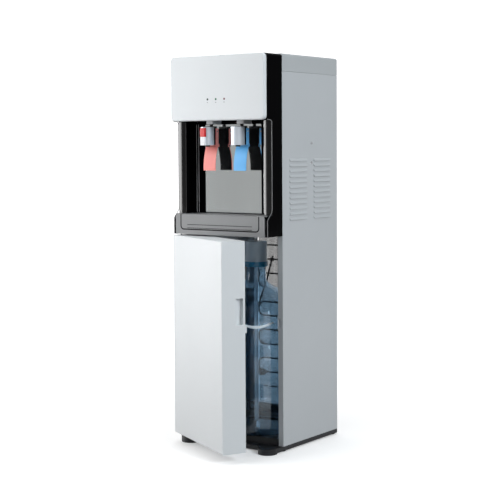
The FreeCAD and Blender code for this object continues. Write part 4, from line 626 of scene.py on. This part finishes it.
@dataclass
class Lamps:
    """Three round lamp lenses in the control panel, with a bar under each."""

    front: float = -0.2152
    height: float = 0.9330
    radius: float = 0.0029
    pitch: float = 0.0275
    dome: tuple[Size, ...] = (
        (0.0, -0.0008), (0.4, -0.00076), (0.7, -0.0006), (0.9, -0.0003), (1.0, -0.0001), (1.0, 0.0))
    bar_drop: float = 0.0082
    bar_half: float = 0.0007
    bar_sunk: float = 0.00005
    bar_thick: float = 0.00025
    bar_turns: int = 6

    def lens(self, name: str, place: float, finish: Finish, stands_for: tuple[str, ...]) -> None:
        """Spin one domed lens on the panel.

        Args:
            name: Which of the three.
            place: Its middle, across the panel.
            finish: Its finish.
            stands_for: The CAD nodes that it replaces.
        """
        mesh = bmesh.new()
        outline = [(place + self.radius * share, self.front + out, self.height)
                   for share, out in self.dome]
        spin_outline(mesh, outline, (place, self.front, self.height), (0.0, 1.0, 0.0), 32)
        Piece("lamp_" + name, "cabinet", "lens", finish, stands_for).place(mesh, 50.0)

    def bar(self, name: str, place: float, width: float) -> None:
        """Raise one small round-ended bar under a lens.

        Args:
            name: Which of the three.
            place: Its middle, across the panel.
            width: Its length between the ends' middles.
        """
        outline = []
        for side in (1, -1):
            for step in range(self.bar_turns + 1):
                angle = side * (math.pi / 2 - math.pi * step / self.bar_turns)
                outline.append((place + side * width / 2 + self.bar_half * math.cos(angle) * side,
                                self.front + self.bar_sunk,
                                self.height - self.bar_drop + self.bar_half * math.sin(angle)))
        mesh = bmesh.new()
        extrude_outline(mesh, outline, (0.0, -self.bar_thick, 0.0))
        Piece("bar_" + name, "cabinet", "lens", BAR_GREY).place(mesh)

    def build(self) -> None:
        """Make the lenses and the bars."""
        self.lens("left", -self.pitch, LAMP_OFF, ("indicator_lenses",))
        self.lens("middle", 0.0, LAMP_GREEN, ())
        self.lens("right", self.pitch, LAMP_RED, ())
        self.bar("left", -self.pitch, 0.0020)
        self.bar("middle", 0.0, 0.0028)
        self.bar("right", self.pitch, 0.0024)


@dataclass
class NicheFrame:
    """Polished faces of the two posts, and a grey bead along the housing's side edges that is a
    painted highlight on their rounded edge.
    """

    low: float = 0.6293
    high: float = 0.8763
    inner: float = 0.1282
    outer: float = 0.1548
    shoulder: float = -0.1803
    bow: float = 0.0042
    depth: float = 0.0012
    steps: int = 14
    highlight_place: float = 0.1549
    highlight_radius: float = 0.0009
    highlight_path: tuple[Size, ...] = (
        (-0.2012, 0.8772), (-0.1900, 0.8768), (-0.1845, 0.8758), (-0.1815, 0.8728),
        (-0.1806, 0.8680), (-0.1806, 0.6500), (-0.1808, 0.6430), (-0.1822, 0.6385),
        (-0.1860, 0.6340), (-0.1985, 0.6215), (-0.2010, 0.6180), (-0.2018, 0.6130),
        (-0.2018, 0.5750))

    def post(self, name: str, side: int) -> None:
        """Bend one polished face over a post.

        Args:
            name: Left or right.
            side: -1 or 1.
        """
        outline = []
        for step in range(self.steps + 1):
            share = step / self.steps
            across = self.inner + (self.outer - self.inner) * share
            bow = self.bow * (1.0 - (2.0 * share - 1.0) ** 2) ** 0.6
            outline.append((side * across, self.shoulder - bow, self.low))
        outline += [(side * across, self.shoulder + self.depth, self.low)
                    for across in (self.outer, self.inner)]
        mesh = bmesh.new()
        extrude_outline(mesh, outline, (0.0, 0.0, self.high - self.low))
        Piece("post_face_" + name, "cabinet", "gloss_black", PIANO_BLACK).place(mesh, 50.0)

    def highlight_bead(self, name: str, side: int) -> None:
        """Run the painted highlight bead down one side of the housing, past the post and the tray.

        Args:
            name: Left or right.
            side: -1 or 1.
        """
        mesh = bmesh.new()
        path = [Vector((side * self.highlight_place, y, z)) for y, z in self.highlight_path]
        sweep(mesh, path, self.highlight_radius)
        # the bead's grey is a painted highlight on the housing's rounded side edge
        Piece("housing_highlight_bead_" + name, "cabinet", "gloss_black", PAINTED_EDGE_HIGHLIGHT).place(mesh, 60.0)

    def build(self) -> None:
        """Make both sides."""
        for name, side in SIDES:
            self.post(name, side)
            self.highlight_bead(name, side)


@dataclass
class NicheCornerHighlights:
    """Slim grey upright beads beside the mirrored back plate, as painted highlights on the niche's
    back corners.
    """

    low: float = 0.6310
    high: float = 0.8690
    depth: float = -0.1415
    radius: float = 0.0007
    places: tuple[float, ...] = (0.1160, 0.1232)
    steps: int = 4

    def build(self) -> None:
        """Run two painted highlight beads up each back corner of the niche."""
        heights = [self.low + (self.high - self.low) * step / self.steps
                   for step in range(self.steps + 1)]
        for name, side in SIDES:
            mesh = bmesh.new()
            for place in self.places:
                path = [Vector((side * place, self.depth, height)) for height in heights]
                sweep(mesh, path, self.radius)
            # the beads' grey is a painted highlight on the niche's back corners
            Piece("niche_highlight_bead_" + name, "cabinet", "gloss_black", PAINTED_CORNER_HIGHLIGHT).place(mesh, 60.0)


@dataclass
class TrayShadeLines:
    """Painted shade: a dark strip in the groove round the tray's front and two dark lines under its
    ridges.
    """

    half: float = 0.1293
    low: float = 0.5873
    high: float = 0.6270
    face: float = -0.2050
    corner: float = 0.0095
    width: float = 0.0034
    proud: float = 0.00025
    crown: float = 0.7
    line_half: float = 0.1070
    line_step: float = 0.0214
    line_width: float = 0.0015
    line_heights: tuple[float, ...] = (0.59125, 0.60025)

    def strip(self, mesh: bmesh.types.BMesh, path: list[Size], width: float) -> None:
        """Lay a flat strip along a path on the tray's face.

        Args:
            mesh: Where it goes.
            path: Places across and up.
            width: Its width.
        """
        lift = Vector((0.0, -self.proud, 0.0))
        rows = []
        for index, (x, z) in enumerate(path):
            before = path[max(0, index - 1)]
            after = path[min(len(path) - 1, index + 1)]
            ahead = Vector((after[0] - before[0], 0.0, after[1] - before[1])).normalized()
            across = Vector((ahead.z, 0.0, -ahead.x)) * (width / 2)
            middle = Vector((x, self.face, z))
            rows.append([middle - across, middle - across * self.crown + lift,
                         middle + across * self.crown + lift, middle + across])
        skin_rings(mesh, rows)

    def build(self) -> None:
        """Make the painted groove shade and the painted ridge shade; both ride on the tray."""
        inner = self.half - self.corner
        path = [(-self.half, self.high), (-self.half, self.low + self.corner)]
        for turn in range(1, 6):
            angle = turn * math.pi / 12
            path.append((-inner - self.corner * math.cos(angle),
                         self.low + self.corner - self.corner * math.sin(angle)))
        path.append((-inner, self.low))
        path += [(-x, z) for x, z in reversed(path)]
        mesh = bmesh.new()
        self.strip(mesh, path, self.width)
        # dark strip in the groove round the tray: painted shade
        Piece("tray_groove_shade", "drip_tray", "rubber_black", PAINTED_TRAY_SHADE).place(mesh, 20.0)
        mesh = bmesh.new()
        for height in self.line_heights:
            path = [(-self.line_half + self.line_step * step, height) for step in range(11)]
            self.strip(mesh, path, self.line_width)
        # dark lines under the ridges: painted shade
        Piece("tray_ridge_shade", "drip_tray", "rubber_black", PAINTED_TRAY_SHADE).place(mesh, 20.0)


@dataclass
class RearSill:
    """Folded sheet sill across the open back, under the condenser."""

    half: float = 0.1495
    low: float = 0.0335
    high: float = 0.0625
    back: float = 0.1323
    flange: float = 0.0115
    sheet: float = 0.0010
    bevel: float = 0.0012

    def build(self) -> None:
        """Extrude the folded section across the cabinet."""
        front = self.back - self.flange
        inside = self.back - self.sheet
        section = [(front, self.high), (self.back - self.bevel, self.high),
                   (self.back, self.high - self.bevel), (self.back, self.low + self.bevel),
                   (self.back - self.bevel, self.low), (front, self.low),
                   (front, self.low + self.sheet), (inside, self.low + self.sheet),
                   (inside, self.high - self.sheet), (front, self.high - self.sheet)]
        mesh = bmesh.new()
        extrude_outline(mesh, [(-self.half, y, z) for y, z in section],
                        (2 * self.half, 0.0, 0.0))
        Piece("rear_sill", "cabinet", "matt_black", MATT_BLACK).place(mesh, 50.0)


@dataclass
class WireGrid:
    """Close-set upright wires welded to both faces of the condenser."""

    middle: float = 0.147
    offset: float = 0.00315
    radius: float = 0.0007
    pitch: float = 0.0042
    half: float = 0.1245
    low: float = 0.058
    high: float = 0.7425
    bracket_heights: tuple[Size, ...] = ((0.1425, 0.1565), (0.682, 0.696))
    bracket_places: Size = (0.0945, 0.1055)
    sides: int = 6

    def spans(self, place: float) -> list[Size]:
        """Heights over which one wire runs; the brackets interrupt some.

        Args:
            place: The wire's place across the cooler.

        Returns:
            Pairs of lowest and highest point.
        """
        near, far = self.bracket_places
        if not near < abs(place) < far:
            return [(self.low, self.high)]
        ends = [height for bracket in self.bracket_heights for height in bracket]
        marks = [self.low, *ends, self.high]
        return list(zip(marks[::2], marks[1::2]))

    def build(self) -> None:
        """Draw every wire as a thin six-sided rod."""
        mesh = bmesh.new()
        count = int(2 * self.half / self.pitch)
        for layer in (-1, 1):
            for index in range(count + 1):
                place = (index - count / 2) * self.pitch + layer * self.pitch / 4
                depth = self.middle + layer * self.offset
                for low, high in self.spans(place):
                    centre = Matrix.Translation((place, depth, (low + high) / 2))
                    bmesh.ops.create_cone(mesh, cap_ends=True, segments=self.sides,
                                          radius1=self.radius, radius2=self.radius,
                                          depth=high - low, matrix=centre)
        piece = Piece("condenser_grid", "cabinet", "wire_black", PAINTED_TUBE, ("condenser_wires",))
        piece.place(mesh, 70.0)


@dataclass(frozen=True)
class SoftLight:
    """A rectangular light: a reflector that only shows in gloss, or a lamp that never does."""

    name: str
    place: Point
    aim: Point
    size: Size
    power: float
    glossy: bool = False
    tint: Colour = WHITE

    def hang(self) -> None:
        """Put the light in its place, turned to what it faces."""
        data = bpy.data.lights.new(self.name, "AREA")
        data.shape = "RECTANGLE"
        data.size, data.size_y = self.size
        data.energy = self.power
        data.color = self.tint
        made = add_object(self.name, data)
        made.location = self.place
        ahead = Vector(self.aim) - Vector(self.place)
        made.rotation_euler = ahead.to_track_quat("-Z", "Y").to_euler()
        made.visible_camera = False
        made.visible_glossy = self.glossy
        made.visible_diffuse = not self.glossy


LIGHTS = (
    SoftLight("key", (-0.6, -1.3, 0.9), (0.0, -0.1, 0.6), (0.8, 1.5), 12.0),
    SoftLight("fill", (3.5, -1.0, 2.2), (0.0, 0.0, 0.5), (1.2, 1.2), 88.0, tint=(0.90, 0.96, 1.0)),
    SoftLight("top", (0.0, 0.3, 4.2), (0.0, 0.0, 0.0), (4.0, 4.0), 55.0),
    SoftLight("left_strip", (-1.95, -1.03, 0.8), (-0.14, -0.18, 0.75), (1.8, 1.8), 80.0, True),
    SoftLight("mirror_card", (-1.29, -1.92, 0.7), (0.0, -0.14, 0.75), (0.6, 1.2), 0.30, True),
    SoftLight("right_strip", (2.0, -1.2, 0.7), (0.0, -0.15, 0.5), (0.7, 1.8), 6.0, True),
    SoftLight("right_card", (2.2, 0.5, 0.4), (0.0, -0.04, 0.3), (1.5, 1.6), 6.0, True),
)
FLOOR_WHITE = FloorFinish("floor_white", (0.92, 0.92, 0.92), 0.75, specular=0.1, grain=30.0,
                          depth=0.0, drift=0.0)
BACKDROP_WHITE = LitFinish("backdrop_white", WHITE, 1.0, specular=0.0, depth=0.0, drift=0.0,
                           glow=1.0)


@dataclass
class Studio:
    """Pale floor, white surroundings, soft light and the camera."""

    eye: Point = (2.02417, -2.85066, 0.80413)
    yaw: float = 36.0102
    pitch: float = 3.7100
    roll: float = 0.3365
    lens: float = 90.8455
    sensor: float = 36.0
    shift: float = -0.04
    sight: float = 60.0
    reach: float = 8.0
    facing: Point = (-0.62, 0.785, 0.0)
    turn: Size = (0.05, 0.85)
    glow: Size = (0.24, 1.03)

    def camera(self) -> None:
        """Set the camera at the photograph's angle."""
        data = bpy.data.cameras.new("camera")
        data.sensor_width = self.sensor
        data.lens = self.lens
        data.shift_y = self.shift
        data.clip_end = self.sight
        made = add_object("camera", data)
        yaw = math.radians(self.yaw)
        pitch = math.radians(self.pitch)
        roll = math.radians(self.roll)
        ahead = Vector((-math.sin(yaw) * math.cos(pitch), math.cos(yaw) * math.cos(pitch),
                        -math.sin(pitch)))
        right = Vector((math.cos(yaw), math.sin(yaw), 0.0))
        up = right.cross(ahead)
        turned_right = right * math.cos(roll) - up * math.sin(roll)
        turned_up = right * math.sin(roll) + up * math.cos(roll)
        turn = Matrix((turned_right, turned_up, -ahead)).transposed()
        made.matrix_world = Matrix.Translation(self.eye) @ turn.to_4x4()
        bpy.context.scene.camera = made

    def surface(self, name: str, mesh: bmesh.types.BMesh, finish: Finish) -> bpy.types.Object:
        """Make one surface of the set.

        Args:
            name: Its name.
            mesh: Its shape.
            finish: Its finish.

        Returns:
            The object.
        """
        data = bpy.data.meshes.new(name)
        mesh.to_mesh(data)
        mesh.free()
        data.materials.append(finish.material())
        return add_object(name, data)

    def floor(self) -> None:
        """Lay a wide pale floor that throws no light on the cooler."""
        mesh = bmesh.new()
        bmesh.ops.create_circle(mesh, cap_ends=True, radius=self.reach, segments=96)
        made = self.surface("floor", mesh, FLOOR_WHITE)
        made.visible_diffuse = False

    def backdrop(self) -> None:
        """Hang a white dome around the set that only the camera sees."""
        mesh = bmesh.new()
        bmesh.ops.create_uvsphere(mesh, u_segments=48, v_segments=24, radius=self.reach)
        made = self.surface("backdrop", mesh, BACKDROP_WHITE)
        for kind in ("diffuse", "glossy", "transmission", "volume_scatter", "shadow"):
            setattr(made, "visible_" + kind, False)

    def world(self) -> None:
        """Surround the cooler with white, dimmer on the camera's side."""
        world = bpy.data.worlds.new("studio")
        world.use_nodes = True
        tree = world.node_tree
        place = tree.nodes.new("ShaderNodeTexCoord")
        facing = tree.nodes.new("ShaderNodeVectorMath")
        facing.operation = "DOT_PRODUCT"
        facing.inputs[1].default_value = self.facing
        tree.links.new(place.outputs["Generated"], facing.inputs[0])
        level = tree.nodes.new("ShaderNodeMapRange")
        level.interpolation_type = "SMOOTHSTEP"
        level.inputs["From Min"].default_value, level.inputs["From Max"].default_value = self.turn
        level.inputs["To Min"].default_value, level.inputs["To Max"].default_value = self.glow
        tree.links.new(facing.outputs["Value"], level.inputs["Value"])
        background = tree.nodes["Background"]
        background.inputs["Color"].default_value = (*WHITE, 1.0)
        tree.links.new(level.outputs["Result"], background.inputs["Strength"])
        bpy.context.scene.world = world

    def build(self) -> None:
        """Set up world, floor, backdrop, lights and camera."""
        self.world()
        bpy.context.scene.view_settings.view_transform = "Standard"
        self.floor()
        self.backdrop()
        for light in LIGHTS:
            light.hang()
        self.camera()


def main() -> None:
    """Dress the cooler and set the studio."""
    logging.basicConfig(level=logging.INFO, format="%(name)s: %(message)s")
    CadDress().dress()
    for part in (Bottle(), BottleGrip(), Lamps(), NicheFrame(), NicheCornerHighlights(), TrayShadeLines(),
                 RearSill(), WireGrid(), Studio()):
        part.build()


if __name__ == "__main__":
    main()
